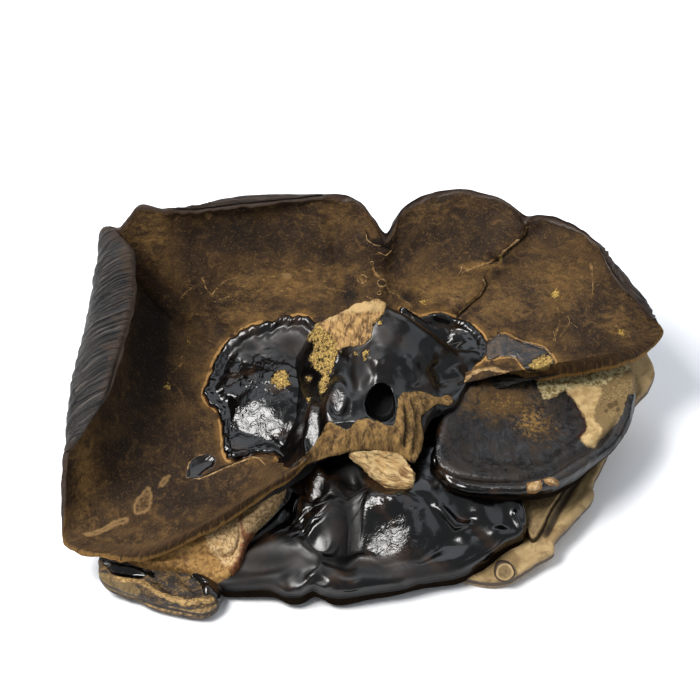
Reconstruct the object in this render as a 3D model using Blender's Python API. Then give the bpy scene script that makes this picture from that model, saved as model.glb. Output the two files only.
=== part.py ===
"""A large lacquered bracket fungus, dried, lying on its back as one grown piece.

An upturned cap with a curled left wall and a lobed back edge opens upwards. A knobbly stem stub with a
natural hole stands in the middle of it. Under its front edge two glossy lobes with rolled margins and
a small lobe spill to the ground, on a thin sheet that spreads to the right.
The frame has +X to the right, +Y to the back and +Z up. Tables are in millimetres, objects in metres.
"""

import math

import bmesh
import bpy
import numpy as np
from mathutils import Matrix, Vector

# Driving dimensions, in millimetres.
NODE = "bracket_fungus"
HUB_THICKNESS = 20.0
BODY_THICKNESS = 11.0
HOLE_RADIUS = 6.0
HOLE_STRETCH = 1.55
HOLE_DEPTH = 24.0
HOLE_MOUTH = (8.0, -13.0, 81.0)
HOLE_TILT = math.radians(48)
NUB_RADIUS = 6.5
NUB_HEIGHT = 5.0
NUB_CENTRE = (83.0, -92.0, 9.0)
GROUND_OVERLAP = 1.5
BLEND_SIZE = 1.7
TRIANGLES = 9300

# How finely the bodies are drawn: steps from one table row to the next, and points in a profile.
CAP_STEPS = 2
CAP_TOP_POINTS = 13
CAP_LOWER_POINTS = 8
LOBE_STEPS = 2
LOBE_POINTS = 17
STEM_POINTS = 9

# Where each body's profiles start: x, y and height of its middle.
CAP_HUB = (0.0, 14.0, 42.0)
STEM_HUB = (-10.0, 20.0)
FRONT_HUB = (4.0, -52.0, 40.0)
RIGHT_HUB = (104.0, 2.0, 40.0)
BASE_HUB = (50.0, 0.0, 14.0)
SMALL_HUB = (-122.0, -103.0, 16.0)
TISSUE_HUB = (-84.0, -78.0, 28.0)
CHUNK_HUB = (10.0, -40.0, 50.0)
UNDER_HUB = (0.0, 2.0, 38.0)

# The cap's rim, clockwise from the front. Each row holds x, y and height of the edge, how far inside
# it the wall starts, how far outside it the wall bulges, the height of the floor at the wall's foot,
# how far the pore face rolls down over the lip to the edge, and the thickness of the edge.
CAP_RIM = (
    (-23, -28, 54, 16, 0, 58, 3, 8),
    (-43, -52, 52, 18, 1, 58, 8, 9),
    (-69, -69, 43, 22, 1, 51, 11, 8),
    (-99, -85, 34, 24, 1, 41, 10, 7),
    (-128, -95, 30, 26, 1, 34, 9, 7),
    (-154, -94, 33, 27, 2, 30, 6, 6),
    (-171, -86, 35, 28, 2, 29, 3, 6),
    (-178, -76, 44, 28, 3, 30, 0, 6),
    (-178, -67, 62, 26, 4, 32, 0, 5),
    (-176, -57, 77, 24, 8, 34, 0, 5),
    (-165, -47, 91, 22, 16, 35, 0, 5),
    (-153, -35, 101, 20, 28, 36, 0, 5),
    (-148, -16, 107, 18, 32, 37, 0, 5),
    (-143, 8, 110, 18, 33, 38, 0, 5),
    (-140, 34, 114, 20, 33, 39, 0, 5),
    (-141, 56, 116, 24, 32, 40, 0, 5),
    (-144, 72, 117, 30, 28, 42, 0, 5),
    (-152, 84, 117, 36, 18, 43, 0, 5),
    (-159, 93, 115, 44, 4, 44, 0, 5),
    (-152, 93, 114, 48, 0, 44, 0, 5),
    (-146, 96, 121, 54, -2, 45, 0, 5),
    (-139, 101, 126, 60, -4, 46, 0, 5),
    (-124, 102, 122, 68, 0, 47, 0, 5),
    (-103, 108, 120, 72, 14, 48, 0, 5),
    (-78, 113, 121, 75, 24, 49, 0, 5),
    (-47, 118, 122, 80, 18, 50, 0, 5),
    (-19, 121, 122, 85, 4, 50, 0, 5),
    (-4, 116, 116, 85, -4, 50, 0, 5),
    (6, 108, 108, 80, -4, 50, 0, 5),
    (13, 103, 100, 75, -4, 50, 0, 5),
    (18, 109, 102, 80, -4, 50, 0, 5),
    (24, 118, 108, 85, -4, 50, 0, 5),
    (38, 128, 114, 90, -4, 52, 0, 5),
    (60, 131, 118, 90, -2, 54, 0, 5),
    (82, 126, 116, 90, -2, 56, 0, 5),
    (94, 119, 112, 85, -2, 57, 0, 5),
    (102, 113, 106, 80, -4, 58, 0, 5),
    (115, 116, 108, 85, -2, 58, 0, 5),
    (132, 107, 108, 88, 0, 58, 0, 5),
    (145, 93, 104, 85, 5, 59, 0, 5),
    (152, 77, 98, 78, 12, 61, 0, 5),
    (164, 64, 88, 70, 10, 64, 0, 5),
    (177, 56, 79, 60, 3, 67, 0, 5),
    (185, 51, 72, 50, 0, 70, 2, 5),
    (179, 43, 67, 40, 1, 71, 6, 6),
    (168, 36, 62, 30, 1, 72, 10, 8),
    (153, 32, 58, 26, 1, 71, 14, 9),
    (123, 27, 55, 24, 1, 69, 14, 9),
    (105, 27, 54, 22, 1, 65, 10, 9),
    (84, 32, 56, 18, 1, 61, 5, 8),
    (64, 26, 56, 14, 0, 58, 2, 8),
    (52, 14, 53, 12, 0, 55, 1, 8),
    (38, 3, 50, 12, 0, 52, 1, 8),
    (27, -8, 49, 12, 0, 51, 1, 8),
    (14, -18, 49, 12, 0, 51, 1, 8),
    (-3, -22, 50, 14, 0, 53, 1, 8),
)

# The stem's foot: x, y and height of its upper edge, then x, y and height of its lower edge. At the
# front the two edges bound a torn face; elsewhere both are sunk into the cap.
STEM_EDGE = (
    (-33, 64, 58, -34, 65, 54),
    (-44, 54, 50, -45, 55, 45),
    (-52, 32, 40, -53, 32, 36),
    (-54, 10, 37, -55, 10, 33),
    (-57, -10, 35, -58, -10, 31),
    (-62, -24, 34, -63, -25, 31),
    (-56, -33, 38, -55, -34, 34),
    (-44, -41, 51, -42, -42, 45),
    (-34, -39, 60, -32, -41, 50),
    (-23, -27, 68, -20, -38, 54),
    (-5, -28, 74, -2, -35, 56),
    (16, -30, 73, 19, -37, 53),
    (21, -19, 75, 31, -39, 50),
    (29, -5, 72, 36, -20, 53),
    (41, 0, 65, 42, -6, 53),
    (54, 5, 57, 54, 3, 51),
    (63, 22, 56, 64, 21, 50),
    (71, 33, 56, 72, 33, 51),
    (76, 43, 57, 77, 43, 52),
    (68, 52, 53, 69, 53, 48),
    (50, 53, 52, 51, 54, 46),
    (37, 56, 54, 38, 58, 48),
    (23, 60, 64, 24, 62, 54),
    (10, 62, 66, 10, 64, 56),
    (-6, 64, 64, -6, 66, 56),
    (-20, 66, 60, -20, 67, 54),
)

# Heights of the stem's upper face inside that foot: x, y and height.
STEM_HEIGHTS = (
    (-46, 16, 46),
    (-40, 44, 62),
    (-36, 22, 58),
    (-48, -16, 45),
    (-38, -24, 56),
    (-36, -2, 58),
    (-22, 16, 70),
    (-21, -8, 72),
    (-28, 42, 76),
    (-26, 54, 78),
    (-5, 54, 92),
    (11, 52, 97),
    (-12, 38, 88),
    (0, 24, 90),
    (12, 38, 97),
    (12, 18, 92),
    (7, -6, 83),
    (9, -24, 77),
    (-8, -10, 78),
    (20, -7, 79),
    (28, 8, 82),
    (22, 38, 95),
    (37, 34, 85),
    (39, 8, 70),
    (46, 38, 76),
    (51, 14, 61),
    (62, 41, 67),
    (71, 43, 65),
)

# Hollows in the cap under the black layer: x, y, half length, half width, turn and height.
CAP_HOLLOWS = (
    (-70, 20, 46, 26, 80, -5),
    (48, 58, 18, 12, 5, -10),
)

# Outer edges of the lower lobes: x, y and height of the margin's roll, and the radius of that roll.
FRONT_LOBE = (
    (-77, -92, 15, 8),
    (-71, -100, 12, 9),
    (-57, -105, 11, 9),
    (-47, -113, 10, 8),
    (-40, -113, 10, 8),
    (-31, -108, 11, 9),
    (-20, -113, 10, 10),
    (-6, -112, 10, 10),
    (14, -107, 10, 10),
    (35, -101, 10, 10),
    (56, -96, 10, 10),
    (73, -87, 11, 10),
    (85, -77, 13, 9),
    (97, -68, 15, 8),
    (95, -50, 24, 8),
    (72, -24, 30, 9),
    (30, -6, 30, 9),
    (-20, -8, 30, 9),
    (-46, -34, 30, 9),
    (-66, -60, 24, 9),
    (-76, -80, 18, 8),
)
RIGHT_LOBE = (
    (40, -24, 42, 7),
    (41, -38, 40, 7),
    (51, -49, 38, 8),
    (69, -54, 37, 8),
    (93, -55, 37, 8),
    (112, -52, 37, 8),
    (128, -41, 37, 8),
    (143, -26, 38, 7),
    (155, -9, 39, 7),
    (164, 8, 41, 6),
    (168, 24, 43, 4),
    (166, 44, 45, 4),
    (140, 58, 47, 6),
    (104, 50, 46, 6),
    (70, 32, 46, 6),
    (48, 4, 45, 6),
)
BASE_SHEET = (
    (153, 2, 15, 3),
    (146, -12, 13, 3),
    (140, -26, 12, 3),
    (139, -37, 12, 3),
    (131, -48, 12, 3),
    (123, -58, 12, 3),
    (113, -71, 11, 3),
    (113, -78, 9, 3),
    (104, -84, 8, 3),
    (92, -93, 7, 3),
    (83, -97, 5, 3),
    (66, -95, 4, 3),
    (40, -86, 4, 3),
    (-20, -66, 4, 3),
    (-50, -30, 4, 3),
    (-54, 20, 6, 3),
    (-30, 50, 12, 3),
    (20, 70, 20, 3),
    (80, 80, 29, 3),
    (140, 78, 38, 3),
    (170, 70, 43, 3),
    (179, 58, 41, 3),
    (182, 46, 38, 3),
    (178, 37, 32, 3),
    (171, 31, 28, 3),
    (162, 16, 21, 3),
)
SMALL_LOBE = (
    (-156, -88, 20, 5),
    (-159, -96, 16, 6),
    (-156, -103, 13, 7),
    (-145, -108, 10, 7),
    (-136, -111, 9, 7),
    (-125, -117, 8, 7),
    (-110, -121, 8, 7),
    (-97, -123, 8, 7),
    (-90, -120, 8, 7),
    (-86, -113, 11, 7),
    (-84, -102, 14, 6),
    (-96, -84, 20, 6),
    (-130, -78, 22, 6),
)
TISSUE = (
    (-50, -46, 32, 5),
    (-55, -58, 24, 6),
    (-66, -67, 18, 7),
    (-73, -79, 15, 7),
    (-76, -92, 13, 7),
    (-84, -99, 12, 7),
    (-97, -97, 14, 7),
    (-112, -92, 17, 6),
    (-130, -94, 20, 5),
    (-134, -80, 24, 5),
    (-100, -58, 30, 6),
    (-66, -40, 36, 6),
)
CHUNK = (
    (-9, -34, 52, 3),
    (-2, -41, 48, 3),
    (6, -49, 45, 3),
    (16, -54, 43, 3),
    (26, -54, 43, 3),
    (29, -48, 46, 3),
    (22, -36, 50, 4),
    (6, -30, 52, 4),
)
UNDER_MASS = (
    (-52, -30, 16, 13),
    (-30, -56, 16, 13),
    (10, -64, 16, 13),
    (46, -52, 16, 13),
    (66, -20, 18, 13),
    (62, 26, 20, 14),
    (30, 56, 22, 15),
    (-10, 62, 22, 15),
    (-44, 44, 20, 14),
    (-60, 6, 17, 13),
)

# Hills on the front lobe: x, y, half length, half width, turn of the long axis and height.
FRONT_HILLS = (
    (-25, -66, 26, 8, 80, 8),
    (-11, -72, 26, 5, 92, -7),
    (12, -74, 20, 15, 60, 7),
    (50, -64, 18, 5, -50, 4),
    (72, -66, 14, 12, 10, 3),
    (-50, -78, 12, 9, 40, -3),
)


def closed_curve(rows, between):
    """A smooth closed curve through the rows, with this many steps from each row to the next."""
    rows = np.array(rows, float)
    before, after, next_but_one = (np.roll(rows, shift, axis=0) for shift in (1, -1, -2))
    steps = []
    for k in range(between):
        t = k / between
        steps.append(
            rows
            + 0.5 * t * (after - before)
            + t * t * (before - 2.5 * rows + 2 * after - 0.5 * next_but_one)
            + t * t * t * (-0.5 * before + 1.5 * rows - 1.5 * after + 0.5 * next_but_one)
        )
    return np.stack(steps, axis=1).reshape(-1, rows.shape[1])


def spline_weights(controls, samples):
    """Weights of a clamped cubic B-spline: one row for each sample, one column for each control."""
    degree = 3
    inner = np.linspace(0.0, 1.0, controls - degree + 1)
    knots = np.concatenate([np.zeros(degree), inner, np.ones(degree)])
    t = np.linspace(0.0, 1.0, samples)
    t[-1] = 1.0 - 1e-9
    weights = np.array([(knots[i] <= t) & (t < knots[i + 1]) for i in range(len(knots) - 1)], float)
    for d in range(1, degree + 1):
        lifted = np.zeros((len(weights) - 1, samples))
        for i in range(len(lifted)):
            if knots[i + d] > knots[i]:
                lifted[i] += (t - knots[i]) / (knots[i + d] - knots[i]) * weights[i]
            if knots[i + d + 1] > knots[i + 1]:
                lifted[i] += (knots[i + d + 1] - t) / (knots[i + d + 1] - knots[i + 1]) * weights[i + 1]
        weights = lifted
    return weights.T


def profiles(controls, samples):
    """Smooth profiles from (stations, controls, 3) control points, as (stations, samples, 3)."""
    return np.einsum("sc,acx->asx", spline_weights(controls.shape[1], samples), controls)


def outward(plan, hub):
    """Unit directions in plan from the hub to each station."""
    away = plan - np.array(hub[:2])
    return away / np.linalg.norm(away, axis=1, keepdims=True)


def at_height(plan, height):
    """Plan points at a height, which is one number or one for each station."""
    return np.column_stack([plan, np.broadcast_to(height, len(plan))])


def add_hills(grid, hills):
    """Move a face up by smooth hills, or down where a hill's height is negative."""
    for x, y, length, width, turn, height in hills:
        dx, dy = grid[:, :, 0] - x, grid[:, :, 1] - y
        c, s = math.cos(math.radians(turn)), math.sin(math.radians(turn))
        a, b = (c * dx + s * dy) / length, (c * dy - s * dx) / width
        grid[:, :, 2] += height * np.exp(-a * a - b * b)
    return grid


def softened(rows, times):
    """Rows of a closed outline after this many rounds of averaging each one with its neighbours."""
    for _ in range(times):
        rows = 0.5 * rows + 0.25 * (np.roll(rows, 1, axis=0) + np.roll(rows, -1, axis=0))
    return rows


def cap_face(steps, samples):
    """The cap's pore-bearing face, as profiles from the hub over the floor and the wall to the edge."""
    x, y, z, foot, bulge, floor, lip, edge = closed_curve(CAP_RIM, steps).T
    rim = np.column_stack([x, y])
    hub = np.array(CAP_HUB[:2])
    reach = np.linalg.norm(rim - hub, axis=1)
    away = outward(rim, CAP_HUB)
    lipped = np.clip(lip / 6.0, 0.0, 1.0)
    wall_out = (1.0 - lipped) * (0.5 * (bulge - foot) + 8.0) - lipped * 7.0
    wall_height = (1.0 - lipped) * (floor + 0.38 * (z - floor)) + lipped * (floor + 1.0)
    slope = np.where(bulge < 3.0, 0.12 * (z - floor), -0.14 * bulge)
    top_height = (1.0 - lipped) * (z - slope) + lipped * (z + lip)
    soft = steps * steps

    def ring(distance, height, times, limit):
        distance = np.minimum(softened(distance, times * soft), limit)
        return at_height(hub + distance[:, None] * away, softened(height, times * soft))

    controls = np.stack(
        [
            at_height(np.broadcast_to(hub, rim.shape), CAP_HUB[2]),
            ring(0.5 * (reach - foot), 0.5 * (CAP_HUB[2] + floor), 16, 0.6 * (reach - foot)),
            ring(reach - foot, floor, 10, reach - 0.7 * foot),
            ring(reach + wall_out, wall_height, 3, reach + wall_out + 3.0),
            at_height(rim + bulge[:, None] * away, top_height),
            at_height(rim, z),
        ],
        axis=1,
    )
    return add_hills(profiles(controls, samples), CAP_HOLLOWS), edge


def face_normals(grid):
    """Unit normals of a grid whose first index runs round and whose second runs outwards."""
    along = np.gradient(grid, axis=1)
    around = np.roll(grid, -1, axis=0) - np.roll(grid, 1, axis=0)
    normals = np.cross(along, around)
    normals[:, 0] = normals[:, 1].mean(axis=0)
    return normals / np.maximum(np.linalg.norm(normals, axis=2, keepdims=True), 1e-9)


def cap_skin(steps, top_points, lower_points):
    """The whole cap: its upper face, a rounded edge, and the lacquered lower face."""
    top, edge = cap_face(steps, top_points)
    normals = face_normals(top)
    s = np.linspace(0.0, 1.0, top_points)
    middle = np.interp(s, [0.0, 0.35, 1.0], [HUB_THICKNESS, BODY_THICKNESS, BODY_THICKNESS])
    toward_edge = s[None, :] ** 2.5
    thickness = middle[None, :] * (1.0 - toward_edge) + edge[:, None] * toward_edge
    lower = top - normals * thickness[:, :, None]
    outwards = top[:, -1] - top[:, -2]
    outwards /= np.linalg.norm(outwards, axis=1, keepdims=True)
    round_edge = 0.5 * (top[:, -1] + lower[:, -1]) + 0.3 * edge[:, None] * outwards
    kept = np.unique(np.linspace(0, top_points - 1, lower_points).round().astype(int))[::-1]
    return np.concatenate([top, round_edge[:, None], lower[:, kept]], axis=1)


def lobe_skin(rows, hub, steps, samples, bottom, hills=(), overhang=0.05):
    """A lobe with a rolled margin: profiles from its middle over the margin to its underside."""
    x, y, z, roll = closed_curve(rows, steps).T
    edge = np.column_stack([x, y])
    away = outward(edge, hub)
    hub_plan = np.broadcast_to(np.array(hub[:2]), edge.shape)
    middle = hub_plan + 0.55 * (edge - hub_plan)
    middle_top = 0.6 * hub[2] + 0.4 * (z + roll)
    under = np.maximum(z - 1.1 * roll, bottom)
    middle_under = np.maximum(np.minimum(under, middle_top - 2.5 * roll), bottom)
    controls = np.stack(
        [
            at_height(hub_plan, hub[2]),
            at_height(middle, middle_top),
            at_height(edge - (2.6 * roll)[:, None] * away, z + 0.8 * roll),
            at_height(edge - (0.9 * roll)[:, None] * away, z + 1.3 * roll),
            at_height(edge + (overhang * roll)[:, None] * away, z + 0.9 * roll),
            at_height(edge + (overhang * roll)[:, None] * away, z - 0.9 * roll),
            at_height(edge - (1.2 * roll)[:, None] * away, under),
            at_height(middle, middle_under),
            at_height(hub_plan, bottom),
        ],
        axis=1,
    )
    grid = profiles(controls, samples)
    top = samples // 2
    grid[:, :top] = add_hills(grid[:, :top], hills)
    return grid


def thin_plate(points, values):
    """A smooth height field through scattered points, as a function of plan positions."""
    unit = 50.0
    points = np.array(points, float) / unit

    def kernel(a, b):
        r2 = ((a[:, None, :] - b[None, :, :]) ** 2).sum(axis=2)
        return 0.5 * r2 * np.log(r2 + 1e-12)

    def with_plane(a):
        return np.column_stack([np.ones(len(a)), a])

    n = len(points)
    system = np.zeros((n + 3, n + 3))
    system[:n, :n] = kernel(points, points) + 0.002 * np.eye(n)
    system[:n, n:] = with_plane(points)
    system[n:, :n] = with_plane(points).T
    weights = np.linalg.solve(system, np.concatenate([values, np.zeros(3)]))
    return lambda plan: (
        kernel(np.asarray(plan) / unit, points) @ weights[:n] + with_plane(np.asarray(plan) / unit) @ weights[n:]
    )


def stem_skin(steps, samples):
    """The stem stub and the black layer round it, down to a foot that is sunk into the cap."""
    rows = closed_curve(STEM_EDGE, steps)
    edge, edge_height, foot, foot_height = rows[:, :2], rows[:, 2], rows[:, 3:5], rows[:, 5]
    known = np.vstack([np.array(STEM_EDGE, float)[:, :3], np.array(STEM_HEIGHTS, float)])
    height = thin_plate(known[:, :2], known[:, 2])
    hub = np.array(STEM_HUB)
    rings = []
    for r in np.linspace(0.0, 1.0, samples):
        plan = hub + r * (edge - hub)
        rings.append(at_height(plan, height(plan) * (1.0 - r**8) + edge_height * r**8))
    middle_plan = 0.5 * (edge + foot) + 0.8 * outward(edge, hub)
    rings.append(at_height(middle_plan, 0.5 * (edge_height + foot_height)))
    rings.append(at_height(foot, foot_height))
    rings.append(at_height(hub + 0.85 * (foot - hub), foot_height - 3.0))
    rings.append(at_height(np.broadcast_to(hub, edge.shape), 36.0))
    return np.stack(rings, axis=1)


def solid(name, grid):
    """A closed mesh object from profiles that all start in one point and all end in another."""
    around, along = grid.shape[:2]
    rings = along - 2
    inner = grid[:, 1:-1].reshape(-1, 3)
    points = np.vstack([inner, grid[:, 0].mean(axis=0), grid[:, -1].mean(axis=0)]) * 0.001
    first, last = len(points) - 2, len(points) - 1
    faces = []
    for i in range(around):
        j = (i + 1) % around
        faces.append((first, i * rings, j * rings))
        faces.append((last, j * rings + rings - 1, i * rings + rings - 1))
        for k in range(rings - 1):
            faces.append((i * rings + k, i * rings + k + 1, j * rings + k + 1, j * rings + k))
    mesh = bpy.data.meshes.new(name)
    mesh.from_pydata(points.tolist(), [], faces)
    if signed_volume(mesh) < 0.0:
        mesh.flip_normals()
    obj = bpy.data.objects.new(name, mesh)
    bpy.context.scene.collection.objects.link(obj)
    return obj


def signed_volume(mesh):
    """The volume that a closed mesh holds, negative where its faces point inwards."""
    mesh.calc_loop_triangles()
    corners = [[mesh.vertices[i].co for i in triangle.vertices] for triangle in mesh.loop_triangles]
    return sum(a.dot(b.cross(c)) for a, b, c in corners) / 6.0


def cylinder(name, radius, depth, centre, tilt=0.0, stretch=1.0, sides=24):
    """A closed cylinder about its tilted middle axis; stretch widens it across the tilt."""
    turn = Matrix.Translation(Vector(centre)) @ Matrix.Rotation(tilt, 4, "X")
    points = []
    for height in (-0.5 * depth, 0.5 * depth):
        for k in range(sides):
            angle = 2.0 * math.pi * k / sides
            flat = Vector((radius * math.cos(angle), radius * stretch * math.sin(angle), height))
            points.append(tuple(turn @ flat * 0.001))
    faces = [tuple(range(sides))[::-1], tuple(range(sides, 2 * sides))]
    faces += [(k, (k + 1) % sides, sides + (k + 1) % sides, sides + k) for k in range(sides)]
    mesh = bpy.data.meshes.new(name)
    mesh.from_pydata(points, [], faces)
    obj = bpy.data.objects.new(name, mesh)
    bpy.context.scene.collection.objects.link(obj)
    return obj


def evaluated_mesh(obj):
    """The object's mesh with its modifiers applied."""
    bpy.context.view_layer.update()
    return bpy.data.meshes.new_from_object(obj.evaluated_get(bpy.context.evaluated_depsgraph_get()))


def cut_away(target, cutter):
    """Cut one body out of the target with an exact Boolean, and remove that body."""
    step = target.modifiers.new("cut", "BOOLEAN")
    step.operation = "DIFFERENCE"
    step.solver = "EXACT"
    step.object = cutter
    target.data = evaluated_mesh(target)
    target.modifiers.clear()
    bpy.data.objects.remove(cutter)


def keep_largest_shell(mesh):
    """Drop every loose scrap and inner void, so that one skin is left."""
    shape = bmesh.new()
    shape.from_mesh(mesh)
    unseen = set(shape.verts)
    shells = []
    while unseen:
        shell, front = set(), [unseen.pop()]
        while front:
            vertex = front.pop()
            shell.add(vertex)
            linked = {edge.other_vert(vertex) for edge in vertex.link_edges} & unseen
            unseen -= linked
            front += linked
        shells.append(shell)
    largest = max(shells, key=len)
    scraps = [vertex for shell in shells if shell is not largest for vertex in shell]
    bmesh.ops.delete(shape, geom=scraps, context="VERTS")
    shape.to_mesh(mesh)
    shape.free()


def fuse(parts):
    """Grow all the bodies into one closed skin, with soft joints and nothing hollow inside."""
    points, faces = [], []
    for obj in parts:
        start = len(points)
        points += [tuple(vertex.co) for vertex in obj.data.vertices]
        faces += [tuple(start + i for i in polygon.vertices) for polygon in obj.data.polygons]
        bpy.data.objects.remove(obj)
    mesh = bpy.data.meshes.new(NODE)
    mesh.from_pydata(points, [], faces)
    obj = bpy.data.objects.new(NODE, mesh)
    bpy.context.scene.collection.objects.link(obj)
    blend = obj.modifiers.new("blend", "REMESH")
    blend.mode = "VOXEL"
    blend.voxel_size = BLEND_SIZE * 0.001
    obj.data = evaluated_mesh(obj)
    obj.modifiers.clear()
    keep_largest_shell(obj.data)
    triangles = sum(len(polygon.vertices) - 2 for polygon in obj.data.polygons)
    reduce = obj.modifiers.new("reduce", "DECIMATE")
    reduce.ratio = TRIANGLES / triangles
    obj.data = evaluated_mesh(obj)
    obj.modifiers.clear()
    keep_largest_shell(obj.data)
    return obj


def ground_block():
    """A block below the ground, which cuts the underside flat where it rests."""
    size = 500.0
    depth = 60.0
    block = cylinder("ground_block", size, depth, (0.0, 0.0, -0.5 * depth))
    return block


def lacquered_wood():
    """One dark lacquered material for the whole piece."""
    material = bpy.data.materials.new("lacquered_fungus")
    material.use_nodes = True
    shader = material.node_tree.nodes["Principled BSDF"]
    shader.inputs["Base Color"].default_value = (0.055, 0.036, 0.02, 1.0)
    shader.inputs["Roughness"].default_value = 0.45
    return material


def stand_on_origin(obj):
    """Move the mesh so that the middle of its bounding box's bottom is at the origin."""
    corners = [Vector(corner) for corner in obj.bound_box]
    low = Vector([min(corner[i] for corner in corners) for i in range(3)])
    high = Vector([max(corner[i] for corner in corners) for i in range(3)])
    obj.data.transform(Matrix.Translation((-0.5 * (low.x + high.x), -0.5 * (low.y + high.y), -low.z)))


def bodies():
    """Every grown body, each a closed skin that overlaps its neighbours."""
    ground = -GROUND_OVERLAP
    return [
        solid("cap", cap_skin(CAP_STEPS, CAP_TOP_POINTS, CAP_LOWER_POINTS)),
        solid("stem", stem_skin(LOBE_STEPS, STEM_POINTS)),
        solid("under_mass", lobe_skin(UNDER_MASS, UNDER_HUB, LOBE_STEPS, LOBE_POINTS, ground)),
        solid("base_sheet", lobe_skin(BASE_SHEET, BASE_HUB, LOBE_STEPS, LOBE_POINTS, ground)),
        solid("front_lobe", lobe_skin(FRONT_LOBE, FRONT_HUB, LOBE_STEPS, LOBE_POINTS, ground, FRONT_HILLS)),
        solid("right_lobe", lobe_skin(RIGHT_LOBE, RIGHT_HUB, LOBE_STEPS, LOBE_POINTS, 8.0)),
        solid("small_lobe", lobe_skin(SMALL_LOBE, SMALL_HUB, LOBE_STEPS, LOBE_POINTS, ground)),
        solid("tissue", lobe_skin(TISSUE, TISSUE_HUB, LOBE_STEPS, LOBE_POINTS, 2.0)),
        solid("chunk", lobe_skin(CHUNK, CHUNK_HUB, LOBE_STEPS, LOBE_POINTS, 30.0)),
        cylinder("nub", NUB_RADIUS, NUB_HEIGHT, NUB_CENTRE, tilt=math.radians(18)),
    ]


def main():
    for obj in list(bpy.data.objects):
        bpy.data.objects.remove(obj)
    fungus = fuse(bodies())
    along = Vector((0.0, math.sin(HOLE_TILT), -math.cos(HOLE_TILT)))
    hole_centre = Vector(HOLE_MOUTH) + (0.5 * HOLE_DEPTH - 10.0) * along
    cut_away(fungus, cylinder("hole", HOLE_RADIUS, HOLE_DEPTH + 20.0, hole_centre, HOLE_TILT, HOLE_STRETCH))
    cut_away(fungus, ground_block())
    fungus.data.name = NODE
    fungus.data.materials.clear()
    fungus.data.materials.append(lacquered_wood())
    fungus.data.shade_smooth()
    stand_on_origin(fungus)


main()
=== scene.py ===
import math

import bpy
import numpy as np
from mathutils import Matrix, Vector
from mathutils.bvhtree import BVHTree


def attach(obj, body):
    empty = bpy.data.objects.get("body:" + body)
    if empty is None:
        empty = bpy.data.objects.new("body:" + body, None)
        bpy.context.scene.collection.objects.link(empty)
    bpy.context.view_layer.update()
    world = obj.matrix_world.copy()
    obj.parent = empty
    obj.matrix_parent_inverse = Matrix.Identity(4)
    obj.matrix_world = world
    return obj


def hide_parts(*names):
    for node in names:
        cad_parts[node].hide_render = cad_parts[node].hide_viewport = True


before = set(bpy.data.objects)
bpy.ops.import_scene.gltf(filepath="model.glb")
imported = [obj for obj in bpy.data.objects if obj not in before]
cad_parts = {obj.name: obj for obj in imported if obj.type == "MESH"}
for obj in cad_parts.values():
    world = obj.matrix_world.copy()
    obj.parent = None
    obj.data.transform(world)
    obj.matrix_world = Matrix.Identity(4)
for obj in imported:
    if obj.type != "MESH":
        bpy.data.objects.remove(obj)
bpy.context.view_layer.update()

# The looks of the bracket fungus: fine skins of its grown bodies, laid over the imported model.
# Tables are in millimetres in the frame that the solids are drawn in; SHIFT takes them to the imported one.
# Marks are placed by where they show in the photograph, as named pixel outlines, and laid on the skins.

NODE = "bracket_fungus"
SHIFT = np.array([3.718, 3.896, 0.0])

# The photograph's camera: its size in pixels, the size of one pixel at the target, and where it looks.
PHOTO_SIDE = 700.0
PIXEL_SIZE = 0.627
CAMERA_DISTANCE = 1600.0
CAMERA_TILT = math.radians(45.0)
CAMERA_TARGET = np.array([-9.4, 53.2, 53.2])
SENSOR = 36.0

HUB_THICKNESS = 20.0
BODY_THICKNESS = 11.0
HOLE_RADIUS = 8.6
HOLE_STRETCH = 1.25
HOLE_DEPTH = 22.0
HOLE_MOUTH = np.array([9.0, -17.2, 78.3])
HOLE_TILT = math.radians(48)
NUB_RADIUS = 6.2
NUB_PLACE = (504.0, 571.0)
GROUND = 0.0

# Which way a surface faces where it shows the key light's reflection, and a way that shows none.
GLINT = (-0.26, -0.47, 0.84)
NO_GLINT = (0.1, -0.15, 0.98)

CAP_HUB = (0.0, 14.0, 42.0)
STEM_HUB = (-10.0, 20.0)
FRONT_HUB = (4.0, -52.0, 40.0)
RIGHT_HUB = (104.0, 2.0, 40.0)
BASE_HUB = (50.0, 0.0, 14.0)
SMALL_HUB = (-122.0, -103.0, 16.0)
TISSUE_HUB = (-78.0, -72.0, 31.0)
CHUNK_HUB = (10.0, -40.0, 50.0)
UNDER_HUB = (0.0, 2.0, 38.0)

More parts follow.
